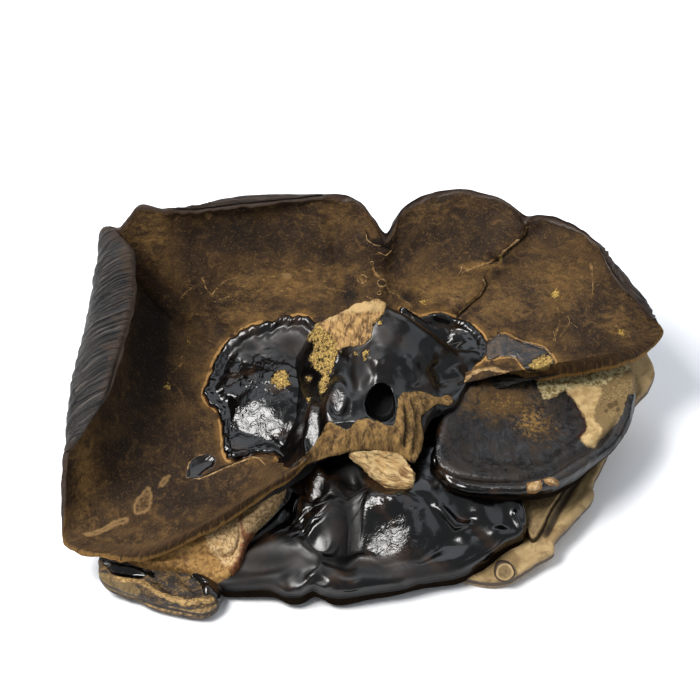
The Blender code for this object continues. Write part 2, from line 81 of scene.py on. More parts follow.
# The cap's rim, clockwise from the front: x, y and height of the edge, how far inside it the wall
# starts, how far outside it the wall bulges, the height of the floor at the wall's foot, how far the
# pore face rolls down over the lip to the edge, and the thickness of the edge.
CAP_RIM = (
    (-23, -28, 54, 16, 0, 58, 3, 8),
    (-43, -52, 52, 18, 1, 58, 8, 9),
    (-69, -69, 43, 22, 1, 51, 11, 8),
    (-99, -85, 34, 24, 1, 41, 10, 7),
    (-129, -98, 28, 26, 1, 34, 9, 7),
    (-157, -99, 31, 27, 1, 30, 6, 5),
    (-178.5, -90, 33, 28, 0, 29, 3, 4),
    (-179, -78, 44, 28, 0, 30, 0, 3),
    (-177, -67, 62, 26, 0, 32, 0, 3),
    (-175, -57, 77, 24, 2, 34, 0, 3),
    (-165, -47, 91, 22, 12, 35, 0, 5),
    (-153, -35, 101, 20, 28, 36, 0, 5),
    (-148, -16, 107, 18, 32, 37, 0, 5),
    (-143, 8, 110, 18, 33, 38, 0, 5),
    (-140, 34, 114, 20, 33, 39, 0, 5),
    (-141, 56, 116, 24, 32, 40, 0, 5),
    (-144, 72, 117, 30, 28, 42, 0, 5),
    (-152, 84, 117, 36, 18, 43, 0, 5),
    (-159, 93, 115, 44, 4, 44, 0, 5),
    (-152, 93, 114, 48, 0, 44, 0, 5),
    (-146, 96, 121, 54, -2, 45, 0, 5),
    (-139, 101, 126, 60, -4, 46, 0, 5),
    (-124, 102, 122, 68, 0, 47, 0, 5),
    (-103, 108, 119, 72, 12, 48, 0, 4),
    (-78, 112, 119, 75, 20, 49, 0, 4),
    (-47, 116, 120, 80, 12, 50, 0, 4),
    (-19, 119, 120, 85, 0, 50, 0, 4),
    (-4, 116, 116, 85, -4, 50, 0, 5),
    (6, 108, 108, 80, -4, 50, 0, 5),
    (13, 103, 100, 75, -4, 50, 0, 5),
    (18, 109, 102, 80, -4, 50, 0, 5),
    (24, 118, 108, 85, -4, 50, 0, 5),
    (38, 126, 113, 90, -5, 52, 0, 4),
    (60, 128, 116, 90, -4, 54, 0, 4),
    (82, 124, 114, 90, -4, 56, 0, 4),
    (94, 117, 111, 85, -4, 57, 0, 4),
    (102, 113, 106, 80, -4, 58, 0, 5),
    (115, 114, 107, 85, -4, 58, 0, 4),
    (132, 105, 106, 88, -3, 58, 0, 4),
    (145, 92, 103, 85, 2, 59, 0, 4),
    (152, 77, 98, 78, 9, 61, 0, 4),
    (164, 64, 88, 70, 10, 64, 0, 5),
    (177, 56, 79, 60, 3, 67, 0, 5),
    (185, 51, 72, 50, 0, 70, 2, 5),
    (179, 43, 67, 40, 1, 71, 6, 6),
    (168, 36, 62, 30, 1, 72, 10, 8),
    (153, 32, 58, 26, 1, 71, 14, 9),
    (123, 27, 55, 24, 1, 69, 14, 9),
    (105, 27, 54, 22, 1, 65, 10, 9),
    (84, 32, 56, 18, 1, 61, 5, 8),
    (64, 26, 56, 14, 0, 58, 2, 8),
    (52, 14, 53, 12, 0, 55, 1, 8),
    (38, 3, 50, 12, 0, 52, 1, 8),
    (27, -8, 49, 12, 0, 51, 1, 8),
    (14, -18, 49, 12, 0, 51, 1, 8),
    (-3, -22, 50, 14, 0, 53, 1, 8),
)

# The stem's foot: x, y and height of its upper edge, then x, y and height of its lower edge.
STEM_EDGE = (
    (-33, 64, 58, -34, 62, 54),
    (-44, 54, 50, -45, 55, 45),
    (-52, 32, 40, -53, 32, 36),
    (-54, 10, 37, -55, 10, 33),
    (-57, -10, 35, -58, -10, 31),
    (-62, -24, 34, -63, -25, 31),
    (-56, -33, 38, -55, -34, 34),
    (-44, -41, 51, -42, -42, 45),
    (-34, -39, 60, -32, -41, 50),
    (-23, -27, 68, -20, -38, 54),
    (-5, -28, 74, -2, -35, 56),
    (16, -30, 73, 19, -37, 53),
    (21, -19, 75, 31, -39, 50),
    (29, -5, 72, 36, -20, 53),
    (41, 0, 65, 42, -6, 53),
    (54, 5, 57, 54, 3, 51),
    (63, 22, 56, 64, 21, 50),
    (71, 33, 56, 72, 33, 51),
    (76, 43, 57, 77, 43, 52),
    (68, 52, 53, 69, 53, 48),
    (50, 53, 52, 51, 54, 46),
    (37, 56, 54, 38, 58, 48),
    (23, 60, 64, 24, 62, 54),
    (10, 61, 66, 10, 58, 58),
    (-6, 62, 64, -6, 58, 58),
    (-20, 65, 60, -20, 61, 56),
)
STEM_HEIGHTS = (
    (-46, 16, 46),
    (-40, 44, 62),
    (-36, 22, 58),
    (-48, -16, 45),
    (-38, -24, 56),
    (-36, -2, 58),
    (-22, 16, 70),
    (-21, -8, 72),
    (-28, 42, 76),
    (-26, 54, 78),
    (-5, 54, 92),
    (11, 52, 97),
    (-12, 38, 88),
    (0, 24, 90),
    (12, 38, 97),
    (12, 18, 92),
    (7, -6, 83),
    (9, -24, 77),
    (-8, -10, 78),
    (20, -7, 79),
    (28, 8, 82),
    (22, 38, 95),
    (37, 34, 85),
    (39, 8, 70),
    (46, 38, 76),
    (51, 14, 61),
    (62, 41, 67),
    (71, 43, 65),
)

# Hollows in the cap under the black layer: x, y, half length, half width, turn and height.
CAP_HOLLOWS = (
    (-70, 20, 46, 26, 80, -5),
    (48, 58, 18, 12, 5, -10),
)

# Outer edges of the lower lobes: x, y and height of the margin's roll, and the radius of that roll.
FRONT_LOBE = (
    (-97, -95, 7, 6),
    (-88, -104, 8, 7),
    (-73, -107, 10, 8),
    (-57, -108, 11, 9),
    (-47, -113, 10, 8),
    (-40, -113, 10, 8),
    (-31, -108, 11, 9),
    (-20, -113, 10, 10),
    (-6, -112, 10, 10),
    (14, -107, 10, 10),
    (35, -101, 10, 10),
    (56, -96, 10, 10),
    (73, -87, 11, 10),
    (85, -77, 13, 9),
    (97, -68, 15, 8),
    (95, -50, 24, 8),
    (72, -24, 30, 9),
    (30, -6, 30, 9),
    (-20, -8, 30, 9),
    (-44, -34, 18, 9),
    (-62, -58, 10, 8),
    (-88, -84, 7, 6),
)
RIGHT_LOBE = (
    (40, -24, 42, 7),
    (41, -38, 40, 7),
    (51, -49, 38, 8),
    (69, -54, 37, 8),
    (93, -55, 37, 8),
    (112, -52, 37, 8),
    (128, -41, 37, 8),
    (143, -26, 38, 7),
    (155, -9, 39, 7),
    (164, 8, 41, 6),
    (168, 24, 43, 4),
    (166, 44, 45, 4),
    (140, 58, 47, 6),
    (104, 50, 46, 6),
    (70, 32, 46, 6),
    (48, 4, 45, 6),
)
BASE_SHEET = (
    (153, 2, 15, 3),
    (146, -12, 13, 3),
    (140, -26, 12, 3),
    (139, -37, 12, 3),
    (131, -48, 12, 3),
    (123, -58, 12, 3),
    (113, -71, 11, 3),
    (113, -78, 9, 3),
    (104, -84, 8, 3),
    (92, -93, 7, 3),
    (83, -97, 5, 3),
    (66, -95, 4, 3),
    (40, -86, 4, 3),
    (-20, -66, 4, 3),
    (-50, -30, 4, 3),
    (-54, 20, 6, 3),
    (-30, 50, 12, 3),
    (20, 70, 20, 3),
    (80, 80, 29, 3),
    (140, 78, 38, 3),
    (170, 70, 43, 3),
    (179, 58, 41, 3),
    (182, 46, 38, 3),
    (178, 37, 32, 3),
    (171, 31, 28, 3),
    (162, 16, 21, 3),
)
SMALL_LOBE = (
    (-156, -88, 20, 5),
    (-159, -96, 16, 6),
    (-156, -103, 13, 7),
    (-145, -108, 10, 7),
    (-136, -111, 9, 7),
    (-125, -117, 8, 7),
    (-110, -121, 8, 7),
    (-97, -123, 8, 7),
    (-90, -120, 8, 7),
    (-86, -113, 8, 7),
    (-86, -104, 7, 6),
    (-100, -86, 8, 6),
    (-130, -78, 14, 6),
)
TISSUE = (
    (-49, -46, 37, 5),
    (-54, -58, 31, 6),
    (-64, -67, 25, 7),
    (-71, -79, 20, 7),
    (-75, -93, 15, 7),
    (-84, -103, 12, 7),
    (-97, -101, 13, 7),
    (-112, -96, 16, 6),
    (-130, -97, 18, 5),
    (-148, -90, 20, 5),
    (-134, -80, 22, 5),
    (-100, -58, 20, 6),
    (-66, -40, 30, 6),
)
CHUNK = (
    (-9, -34, 52, 3),
    (-2, -41, 48, 3),
    (6, -49, 45, 3),
    (16, -54, 43, 3),
    (26, -54, 43, 3),
    (29, -48, 46, 3),
    (22, -36, 50, 4),
    (6, -30, 52, 4),
)
UNDER_MASS = (
    (-52, -30, 16, 13),
    (-30, -56, 16, 13),
    (10, -64, 16, 13),
    (46, -52, 16, 13),
    (66, -20, 18, 13),
    (62, 26, 20, 14),
    (30, 56, 22, 15),
    (-10, 62, 22, 15),
    (-44, 44, 20, 14),
    (-60, 6, 17, 13),
)
FRONT_HILLS = (
    (-26, -66, 28, 13, 80, 9),
    (-11, -72, 26, 5, 92, -7),
    (12, -68, 20, 17, 60, 7),
    (50, -64, 18, 5, -50, 4),
    (72, -66, 14, 12, 10, 3),
)

# Outlines of patches and marks, in pixels of the photograph.
LEFT_COAT = (
    (312, 320), (300, 315), (285, 316), (271, 320), (255, 324), (240, 331), (228, 341), (218, 353),
    (212, 366), (208, 378), (203, 391), (205, 401), (215, 409), (220, 420), (222, 436), (223, 452),
    (231, 462), (252, 457), (272, 456), (290, 463), (301, 461), (322, 446), (342, 425), (345, 395),
    (338, 360), (326, 335),
)
BACK_COAT = (
    (400, 308), (418, 316), (438, 313), (455, 317), (474, 326), (485, 338), (487, 350), (480, 362),
    (462, 368), (440, 360), (420, 345), (404, 328),
)
RIGHT_COAT = (
    (495, 336), (505, 334), (520, 341), (545, 348), (553, 358), (555, 363), (545, 369), (528, 371),
    (515, 358), (500, 357), (488, 360), (486, 348),
)
DARK_POCKET = (
    (186, 478), (189, 463), (197, 456), (207, 454), (216, 459), (214, 467), (205, 472), (199, 478),
)
TORN_TOP = (
    (311, 325), (318, 312), (334, 301), (350, 296), (368, 296), (386, 297), (384, 314), (373, 326),
    (369, 340), (357, 346), (345, 347), (338, 352), (330, 334), (318, 331),
)
GOLD_ON_STEM = (
    (
        (311, 326), (319, 322), (327, 330), (334, 337), (340, 347), (338, 356), (334, 368), (331, 378),
        (327, 392), (321, 396), (318, 386), (321, 375), (312, 367), (308, 357), (314, 347), (307, 340),
    ),
    ((362, 352), (370, 350), (371, 358), (366, 362), (362, 359)),
    ((354, 351), (359, 352), (358, 357), (354, 356)),
    ((378, 320), (383, 319), (382, 325), (377, 326)),
    ((305, 377), (312, 375), (313, 381), (308, 383)),
    ((306, 397), (311, 396), (311, 406), (307, 406)),
)
GOLD_ON_COAT = (
    ((271, 382), (275, 373), (286, 370), (290, 383), (285, 389), (277, 388)),
    ((528, 367), (534, 359), (545, 355), (553, 358), (551, 366), (540, 371)),
)
TORN_BAND = (
    (299, 461), (309, 451), (328, 425), (336, 425), (347, 430), (357, 421), (372, 420), (393, 426),
    (397, 409), (399, 394), (410, 392), (429, 391), (435, 397), (446, 395), (453, 400), (449, 406),
    (438, 404), (429, 410), (420, 418), (424, 440), (414, 463), (410, 468), (397, 455), (382, 451), (363, 449), (345, 455),
    (332, 456), (302, 466), (294, 468),
)
CREAM_ON_RIGHT = (
    (538, 380), (560, 376), (600, 370), (632, 360), (655, 356), (658, 378), (640, 394), (628, 394),
    (622, 415), (610, 430), (592, 443), (580, 439), (587, 426), (578, 407), (566, 390), (556, 397),
    (543, 398),
)
CREAM_ON_TISSUE = (
    ((245, 505), (262, 492), (286, 480), (288, 500), (278, 520), (258, 532), (243, 530)),
    ((205, 532), (225, 518), (238, 517), (242, 540), (236, 560), (226, 566), (212, 552)),
)
PALE_STRIP = (
    (566, 388), (580, 384), (596, 386), (602, 392), (597, 404), (594, 418), (602, 430), (593, 443),
    (581, 440), (588, 427), (580, 408),
)
SPECKLED = ((538, 380), (560, 376), (600, 369), (630, 361), (626, 372), (604, 384), (575, 388), (558, 393), (543, 398))
RED_LINE = ((558, 384), (566, 390), (576, 402), (586, 420), (588, 428), (580, 437))
SPOTS_ON_TAN = (
    ((607, 405), (611, 402), (614, 406), (610, 409)),
    ((613, 402), (617, 400), (618, 404), (615, 405)),
    ((604, 410), (607, 409), (608, 412), (605, 413)),
    ((641, 378), (644, 376), (645, 380), (642, 381)),
    ((616, 409), (619, 407), (620, 411), (617, 412)),
)
WORN_SPOTS = (
    ((526, 487), (529, 482), (540, 479), (541, 487), (536, 491), (528, 491)),
    ((543, 478), (552, 478), (558, 483), (557, 486), (549, 484), (544, 483)),
)
SCARS = (
    ((135, 515), (134, 504), (141, 494), (148, 486), (152, 495), (150, 508), (143, 513)),
    ((84, 533), (100, 529), (115, 520), (128, 518), (127, 523), (115, 526), (101, 534), (86, 536)),
    ((158, 486), (164, 477), (170, 474), (168, 481), (161, 488)),
    ((204, 216), (208, 213), (212, 216), (209, 219)),
    ((282, 276), (288, 273), (293, 276), (287, 279)),
)
GOLD_ON_CAP = (
    ((187, 343), (190, 337), (193, 343)),
    ((164, 386), (168, 383), (171, 388), (166, 391)),
    ((549, 296), (556, 289), (561, 294), (555, 298)),
    ((618, 330), (622, 328), (626, 335), (621, 336)),
    ((420, 302), (424, 299), (427, 302), (423, 305)),
    ((498, 256), (502, 254), (502, 259), (499, 261)),
)

# Lines on the cap: points in pixels, the height of the step on the line's right-hand side, and how
# far that step reaches, in pixels.
CAP_STEPS_UP = (
    (((527, 220), (525, 234), (516, 243), (506, 250), (500, 257), (490, 262)), 2.6, 16),
    (((483, 277), (486, 285), (480, 295), (470, 303), (453, 320)), 2.0, 12),
    (((556, 365), (553, 357), (545, 347), (520, 340), (505, 333), (493, 336)), 2.0, 12),
    (((365, 232), (368, 240), (380, 247), (392, 252)), 1.6, 12),
    (((186, 479), (200, 479), (225, 468), (252, 457), (275, 464), (300, 462)), 1.8, 18),
    (((78, 538), (95, 545), (115, 547), (134, 543)), -1.2, 10),
)
PALE_RIDGES = (
    (((520, 239), (515, 243), (507, 249), (500, 257)), 3.0),
    (((492, 262), (480, 266), (468, 270), (457, 275)), 1.0),
    (((483, 279), (486, 285), (480, 295), (470, 303), (459, 313)), 1.4),
    (((556, 364), (553, 357), (545, 347), (530, 343), (520, 340), (510, 335), (500, 334)), 1.3),
    (((457, 277), (462, 270), (461, 266)), 1.6),
    (((366, 234), (367, 240), (374, 245), (381, 246)), 0.9),
    (((378, 252), (386, 256), (392, 250)), 0.9),
    (((202, 277), (207, 290), (212, 296), (216, 289), (225, 281), (240, 277)), 0.55),
    (((592, 262), (593, 285), (592, 308)), 0.6),
    (((186, 478), (189, 463), (197, 456), (207, 454)), 1.0),
    (((186, 478), (200, 479), (212, 474), (225, 468), (240, 462), (252, 457), (259, 458), (266, 466)), 1.0),
    (((485, 362), (500, 357), (515, 358), (528, 372), (545, 370), (553, 362)), 1.1),
    (((458, 398), (462, 388), (466, 379), (476, 371), (490, 368), (505, 372), (520, 378), (537, 381)), 3.4),
    (((568, 316), (570, 322), (566, 330), (560, 336)), 0.5),
    (((570, 322), (578, 328)), 0.5),
    (((553, 330), (556, 340), (552, 350)), 0.5),
)
PALE_RINGS = (
    (362, 279, 5.0, 1.1),
    (382, 283, 4.6, 1.1),
    (372, 263, 2.2, 1.0),
    (379, 293, 2.4, 0.9),
    (455, 292, 1.6, 0.9),
)

SCRATCHES = (
    ((527, 226), (524, 236), (515, 243), (507, 249), (500, 257), (486, 264), (470, 270), (457, 275)),
    ((483, 279), (486, 285), (480, 295), (470, 303), (459, 313)),
    ((457, 277), (462, 270), (480, 264), (492, 262)),
    ((202, 277), (207, 290), (212, 296), (216, 289), (225, 281), (240, 277)),
    ((192, 316), (204, 312), (216, 308), (236, 300)),
    ((228, 292), (250, 284), (275, 276), (305, 270), (330, 274)),
    ((214, 302), (232, 296), (262, 290)),
    ((262, 296), (290, 288), (320, 286), (345, 292)),
    ((345, 268), (356, 274), (366, 286)),
    ((372, 262), (374, 272), (384, 282), (390, 292), (402, 296)),
    ((366, 296), (374, 300), (384, 304)),
    ((395, 288), (400, 298), (412, 306)),
    ((426, 300), (444, 296), (458, 300)),
    ((545, 288), (556, 300), (560, 322), (552, 345)),
    ((568, 316), (570, 322), (566, 330), (560, 336)),
    ((590, 262), (593, 285), (592, 308)),
    ((616, 326), (626, 332), (632, 340)),
    ((180, 300), (186, 292), (194, 286)),
    ((172, 372), (180, 366), (184, 352)),
    ((500, 334), (520, 340), (545, 348), (556, 362)),
)

STEM_LINES = (
    (((386, 306), (402, 320), (425, 336), (442, 346), (476, 341)), 2.4, 6),
    (((352, 352), (349, 375), (352, 402)), -2.6, 9),
    (((346, 384), (331, 410), (313, 438), (300, 458)), 3.2, 9),
    (((366, 345), (372, 358), (384, 366)), 1.4, 7),
    (((404, 352), (412, 372), (414, 390)), 1.6, 8),
    (((432, 362), (440, 374), (446, 388)), -2.4, 7),
    (((452, 366), (460, 376), (463, 386)), 2.2, 6),
    (((474, 346), (480, 354), (476, 364)), 1.2, 6),
    (((298, 402), (292, 430), (286, 452)), -1.6, 7),
)
FOLDS_ON_BAND = (
    (((404, 397), (407, 425), (404, 455)), -1.5, 1.8),
    (((412, 396), (416, 430), (412, 462)), -1.3, 1.6),
    (((399, 402), (401, 430), (397, 450)), 1.2, 2.2),
    (((408, 396), (412, 428), (408, 458)), 1.0, 2.0),
    (((420, 398), (421, 425), (418, 450)), 1.0, 2.4),
    (((336, 430), (333, 445), (330, 456)), -1.0, 1.6),
    (((352, 428), (350, 440), (347, 452)), -0.8, 1.6),
    (((372, 424), (373, 438), (374, 450)), -0.8, 1.4),
    (((386, 426), (388, 440), (390, 452)), 0.9, 2.0),
)

# Soft areas of the pore face: u, v, half width and half height in pixels, and strength.
OCHRE_AREAS = (
    (290, 285, 75, 20, 0.6),
    (250, 315, 45, 16, 0.6),
    (340, 270, 50, 14, 0.5),
    (440, 290, 55, 22, 0.7),
    (500, 305, 40, 22, 0.6),
    (478, 266, 24, 5, 1.0),
    (470, 300, 14, 12, 0.7),
    (560, 290, 50, 40, 0.5),
    (620, 320, 30, 30, 0.5),
    (430, 215, 40, 22, 0.35),
    (85, 470, 14, 60, 0.7),
    (150, 235, 22, 24, 0.6),
    (205, 400, 14, 60, 0.3),
    (150, 550, 70, 8, 0.6),
    (330, 215, 30, 20, 0.35),
)
# Darker patches of the pore face, partly painted shade: the strongest, inside the left wall at (150, 350), is painted
# shade of that wall.
DARK_AND_SHADE_AREAS = (
    (150, 350, 24, 70, 0.9),
    (190, 300, 40, 40, 0.4),
    (235, 232, 70, 22, 0.65),
    (450, 225, 40, 22, 0.4),
    (330, 255, 40, 18, 0.5),
    (190, 500, 50, 22, 0.5),
    (120, 470, 26, 50, 0.4),
    (480, 235, 26, 14, 0.4),
    (385, 243, 14, 8, 1.0),
    (395, 262, 16, 10, 0.5),
    (620, 350, 40, 7, 0.6),
    (350, 295, 14, 9, 0.8),
    (405, 298, 20, 12, 0.6),
    (560, 320, 30, 20, 0.4),
)

# Lines on the lobes: points in pixels, height in millimetres, and width in pixels.
FRONT_LINES = (
    (((316, 458), (323, 495), (328, 530), (334, 580)), 5.0, 20),
    (((286, 486), (287, 515), (298, 548)), -2.2, 8),
    (((304, 496), (307, 520), (313, 544)), 0.9, 4),
    (((347, 462), (354, 490), (357, 520), (357, 556)), -3.4, 4.5),
    (((352, 458), (356, 490), (361, 520)), -0.9, 1.8),
    (((392, 480), (402, 520), (410, 575)), 3.6, 25),
    (((282, 528), (298, 543), (326, 561), (347, 565), (358, 557), (370, 557), (386, 564), (420, 560),
      (437, 550), (456, 528)), -3.2, 4.5),
    (((290, 566), (340, 584), (400, 582), (450, 572), (496, 552)), 1.6, 12),
    (((427, 482), (438, 506), (456, 526), (478, 523)), 2.4, 4),
    (((433, 480), (445, 503), (462, 519), (480, 516)), -1.8, 3.5),
    (((470, 500), (490, 520), (500, 540)), 1.8, 12),
    (((284, 572), (290, 586), (295, 606)), -1.4, 7),
    (((306, 568), (318, 582), (330, 592)), 1.6, 10),
    (((527, 540), (505, 552), (488, 566), (470, 572)), -1.6, 4),
    (((512, 508), (518, 520), (524, 536)), 1.4, 3),
    (((363, 498), (375, 503), (395, 500), (408, 490)), 2.0, 6),
    (((366, 511), (382, 516), (400, 511), (416, 494)), -2.6, 4),
    (((418, 470), (424, 490), (418, 510), (408, 522)), 1.2, 4),
)
GLINTS_ON_FRONT = (
    (317, 488, 11, 24, 1.0, GLINT),
    (303, 516, 7, 16, 0.9, GLINT),
    (320, 540, 11, 22, 1.0, GLINT),
    (376, 501, 13, 10, 0.8, GLINT),
    (388, 539, 34, 30, 1.0, GLINT),
    (340, 520, 12, 26, 0.4, NO_GLINT),
    (318, 584, 11, 7, 0.8, GLINT),
    (413, 584, 9, 5, 0.5, GLINT),
    (488, 544, 12, 14, 0.6, (0.0, -0.1, 0.99)),
)
GLINTS_ON_STEM = (
    (338, 398, 10, 16, 0.75, GLINT),
    (314, 430, 11, 23, 1.0, GLINT),
    (364, 374, 10, 14, 0.5, (0.15, -0.35, 0.92)),
)
GLINTS_ON_COAT = ((254, 422, 22, 26, 1.0, GLINT),)

# Where the glossy skins have no shine but a painted dark brown sheen: u, v, half width and half height in pixels, and
# strength.
MATT_ON_FRONT = (
    (268, 560, 52, 17, 1.0),
    (250, 580, 46, 10, 1.0),
    (338, 524, 13, 32, 1.0),
    (350, 470, 12, 14, 0.9),
    (400, 572, 60, 7, 0.8),
    (368, 563, 44, 6, 1.0),
    (356, 520, 6, 40, 0.7),
)
MATT_ON_STEM = (
    (360, 366, 10, 24, 1.0),
    (384, 334, 10, 12, 0.8),
)
MATT_ON_COAT = (
    (250, 347, 16, 9, 1.0),
    (290, 344, 22, 14, 1.0),
)
RIGHT_LINES = (
    (((434, 462), (444, 474), (458, 480), (480, 482), (520, 481), (545, 473), (575, 454), (600, 441),
      (612, 431), (621, 416), (626, 400)), -4.2, 4.4),
    (((440, 476), (452, 485), (470, 490), (520, 490), (550, 484), (580, 466), (606, 450), (622, 432),
      (632, 412), (636, 394)), 2.4, 6.5),
    (((520, 430), (524, 450), (534, 470)), 0.4, 2),
    (((540, 428), (543, 445), (540, 462)), 0.4, 2),
    (((512, 440), (514, 455), (518, 470)), -0.3, 2),
    (((425, 425), (432, 445), (436, 470), (448, 486)), -0.8, 2),
)


def tone(red, green, blue):
    """A colour given as 0 to 255 on a screen, as the shader's linear colour."""
    return tuple((c / 255.0) ** 2.2 for c in (red, green, blue)) + (1.0,)


def ease(value, low, high):
    """A smooth rise from 0 at low to 1 at high."""
    t = np.clip((np.asarray(value, float) - low) / (high - low), 0.0, 1.0)
    return t * t * (3.0 - 2.0 * t)


def lattice(cells, seed):
    """The same value from -1 to 1 for a cell and seed each time."""
    mixed = cells[..., 0] * 374761393 + cells[..., 1] * 668265263 + cells[..., 2] * 974634777 + seed * 1274126177
    mixed = ((mixed & 0xFFFFFFFF) ^ ((mixed & 0xFFFFFFFF) >> 13)) * 1274126177 & 0xFFFFFFFF
    return ((mixed ^ (mixed >> 16)) & 0xFFFF) / 32767.5 - 1.0


def grain(points, size, seed=0, octaves=1):
    """Smooth noise of about -1 to 1 at points in millimetres, with features of this size."""
    total = np.zeros(points.shape[:-1])
    for octave in range(octaves):
        scaled = points * (2.0**octave / size) + 500.0
        cell = np.floor(scaled).astype(np.int64)
        part = scaled - cell
        part = part * part * (3.0 - 2.0 * part)
        for corner in np.ndindex(2, 2, 2):
            weight = np.prod(np.where(corner, part, 1.0 - part), axis=-1)
            total += 0.5**octave * weight * lattice(cell + np.array(corner), seed + 17 * octave)
    return total


def closed_curve(rows, between):
    """A smooth closed curve through the rows, with this many steps from each row to the next."""
    rows = np.array(rows, float)
    before, after, next_but_one = (np.roll(rows, shift, axis=0) for shift in (1, -1, -2))
    steps = []
    for k in range(between):
        t = k / between
        steps.append(
            rows
            + 0.5 * t * (after - before)
            + t * t * (before - 2.5 * rows + 2 * after - 0.5 * next_but_one)
            + t * t * t * (-0.5 * before + 1.5 * rows - 1.5 * after + 0.5 * next_but_one)
        )
    return np.stack(steps, axis=1).reshape(-1, rows.shape[1])


def spline_weights(controls, samples):
    """Weights of a clamped cubic B-spline: one row for each sample, one column for each control."""
    degree = 3
    inner = np.linspace(0.0, 1.0, controls - degree + 1)
    knots = np.concatenate([np.zeros(degree), inner, np.ones(degree)])
    t = np.linspace(0.0, 1.0, samples)
    t[-1] = 1.0 - 1e-9
    weights = np.array([(knots[i] <= t) & (t < knots[i + 1]) for i in range(len(knots) - 1)], float)
    for d in range(1, degree + 1):
        lifted = np.zeros((len(weights) - 1, samples))
        for i in range(len(lifted)):
            if knots[i + d] > knots[i]:
                lifted[i] += (t - knots[i]) / (knots[i + d] - knots[i]) * weights[i]
            if knots[i + d + 1] > knots[i + 1]:
                lifted[i] += (knots[i + d + 1] - t) / (knots[i + d + 1] - knots[i + 1]) * weights[i + 1]
        weights = lifted
    return weights.T


def profiles(controls, samples):
    """Smooth profiles from (stations, controls, 3) control points, as (stations, samples, 3)."""
    return np.einsum("sc,acx->asx", spline_weights(controls.shape[1], samples), controls)


def outward(plan, hub):
    """Unit directions in plan from the hub to each station."""
    away = plan - np.array(hub[:2])
    return away / np.linalg.norm(away, axis=1, keepdims=True)


def at_height(plan, height):
    """Plan points at a height, which is one number or one for each station."""
    return np.column_stack([plan, np.broadcast_to(height, len(plan))])


def add_hills(grid, hills):
    """Move a face up by smooth hills, or down where a hill's height is negative."""
    for x, y, length, width, turn, height in hills:
        dx, dy = grid[:, :, 0] - x, grid[:, :, 1] - y
        c, s = math.cos(math.radians(turn)), math.sin(math.radians(turn))
        a, b = (c * dx + s * dy) / length, (c * dy - s * dx) / width
        grid[:, :, 2] += height * np.exp(-a * a - b * b)
    return grid


def softened(rows, times):
    """Rows of a closed outline after this many rounds of averaging each one with its neighbours."""
    for _ in range(int(times)):
        rows = 0.5 * rows + 0.25 * (np.roll(rows, 1, axis=0) + np.roll(rows, -1, axis=0))
    return rows


def normals_of(grid):
    """Unit normals of a skin that starts at its top, all on its outer side."""
    along = np.gradient(grid, axis=1)
    around = np.roll(grid, -1, axis=0) - np.roll(grid, 1, axis=0)
    normals = np.cross(along, around)
    normals[:, 0] = normals[:, 1].mean(axis=0)
    normals[:, -1] = normals[:, -2].mean(axis=0)
    normals /= np.maximum(np.linalg.norm(normals, axis=2, keepdims=True), 1e-9)
    return normals if normals[:, 1:6, 2].mean() > 0.0 else -normals


def pixels(points):
    """Where points in millimetres show in the photograph."""
    back = np.array([0.0, -math.cos(CAMERA_TILT), math.sin(CAMERA_TILT)])
    up = np.array([0.0, math.sin(CAMERA_TILT), math.cos(CAMERA_TILT)])
    offset = np.asarray(points, float) - CAMERA_TARGET
    scale = CAMERA_DISTANCE / PIXEL_SIZE / (CAMERA_DISTANCE - offset @ back)
    return np.stack([0.5 * PHOTO_SIDE + offset[..., 0] * scale, 0.5 * PHOTO_SIDE - (offset @ up) * scale], axis=-1)


def tree_of(grid):
    """A skin's surface, ready for rays."""
    around, along = grid.shape[:2]
    faces = []
    for i in range(around):
        j = (i + 1) % around
        faces += [(i * along + k, i * along + k + 1, j * along + k + 1, j * along + k) for k in range(along - 1)]
    return BVHTree.FromPolygons(grid.reshape(-1, 3).tolist(), faces)


def laid(tree, marks):
    """Points and normals where lines of sight through these pixels meet a surface."""
    back = np.array([0.0, -math.cos(CAMERA_TILT), math.sin(CAMERA_TILT)])
    up = np.array([0.0, math.sin(CAMERA_TILT), math.cos(CAMERA_TILT)])
    eye = CAMERA_TARGET + CAMERA_DISTANCE * back
    flat = np.asarray(marks, float).reshape(-1, 2)
    points, normals = np.zeros((len(flat), 3)), np.zeros((len(flat), 3))
    for i, (u, v) in enumerate(flat):
        aim = (
            CAMERA_TARGET
            + (u - 0.5 * PHOTO_SIDE) * PIXEL_SIZE * np.array([1.0, 0.0, 0.0])
            + (0.5 * PHOTO_SIDE - v) * PIXEL_SIZE * up
        )
        hit = tree.ray_cast(Vector(eye), Vector(aim - eye))
        if hit[0] is None:
            hit = tree.find_nearest(Vector(aim))
        normal = hit[1] if hit[1].dot(Vector(back)) > 0.0 else -hit[1]
        points[i], normals[i] = hit[0], normal
    return points.reshape(*np.shape(marks)[:-1], 3), normals.reshape(*np.shape(marks)[:-1], 3)


def line_distance(places, line):
    """Pixels from an open line, positive on its right-hand side, and how far along it, from 0 to 1."""
    line = np.array(line, float)
    best = np.full(places.shape[:-1], 1e9)
    side, share = np.ones(best.shape), np.zeros(best.shape)
    for k, (a, b) in enumerate(zip(line[:-1], line[1:])):
        run = b - a
        offset = places - a
        t = np.clip(offset @ run / (run @ run), 0.0, 1.0)
        gap = np.linalg.norm(offset - t[..., None] * run, axis=-1)
        nearer = gap < best
        best = np.where(nearer, gap, best)
        side = np.where(nearer, np.sign(run[0] * offset[..., 1] - run[1] * offset[..., 0]), side)
        share = np.where(nearer, (k + t) / (len(line) - 1), share)
    return best * np.where(side == 0.0, 1.0, side), share


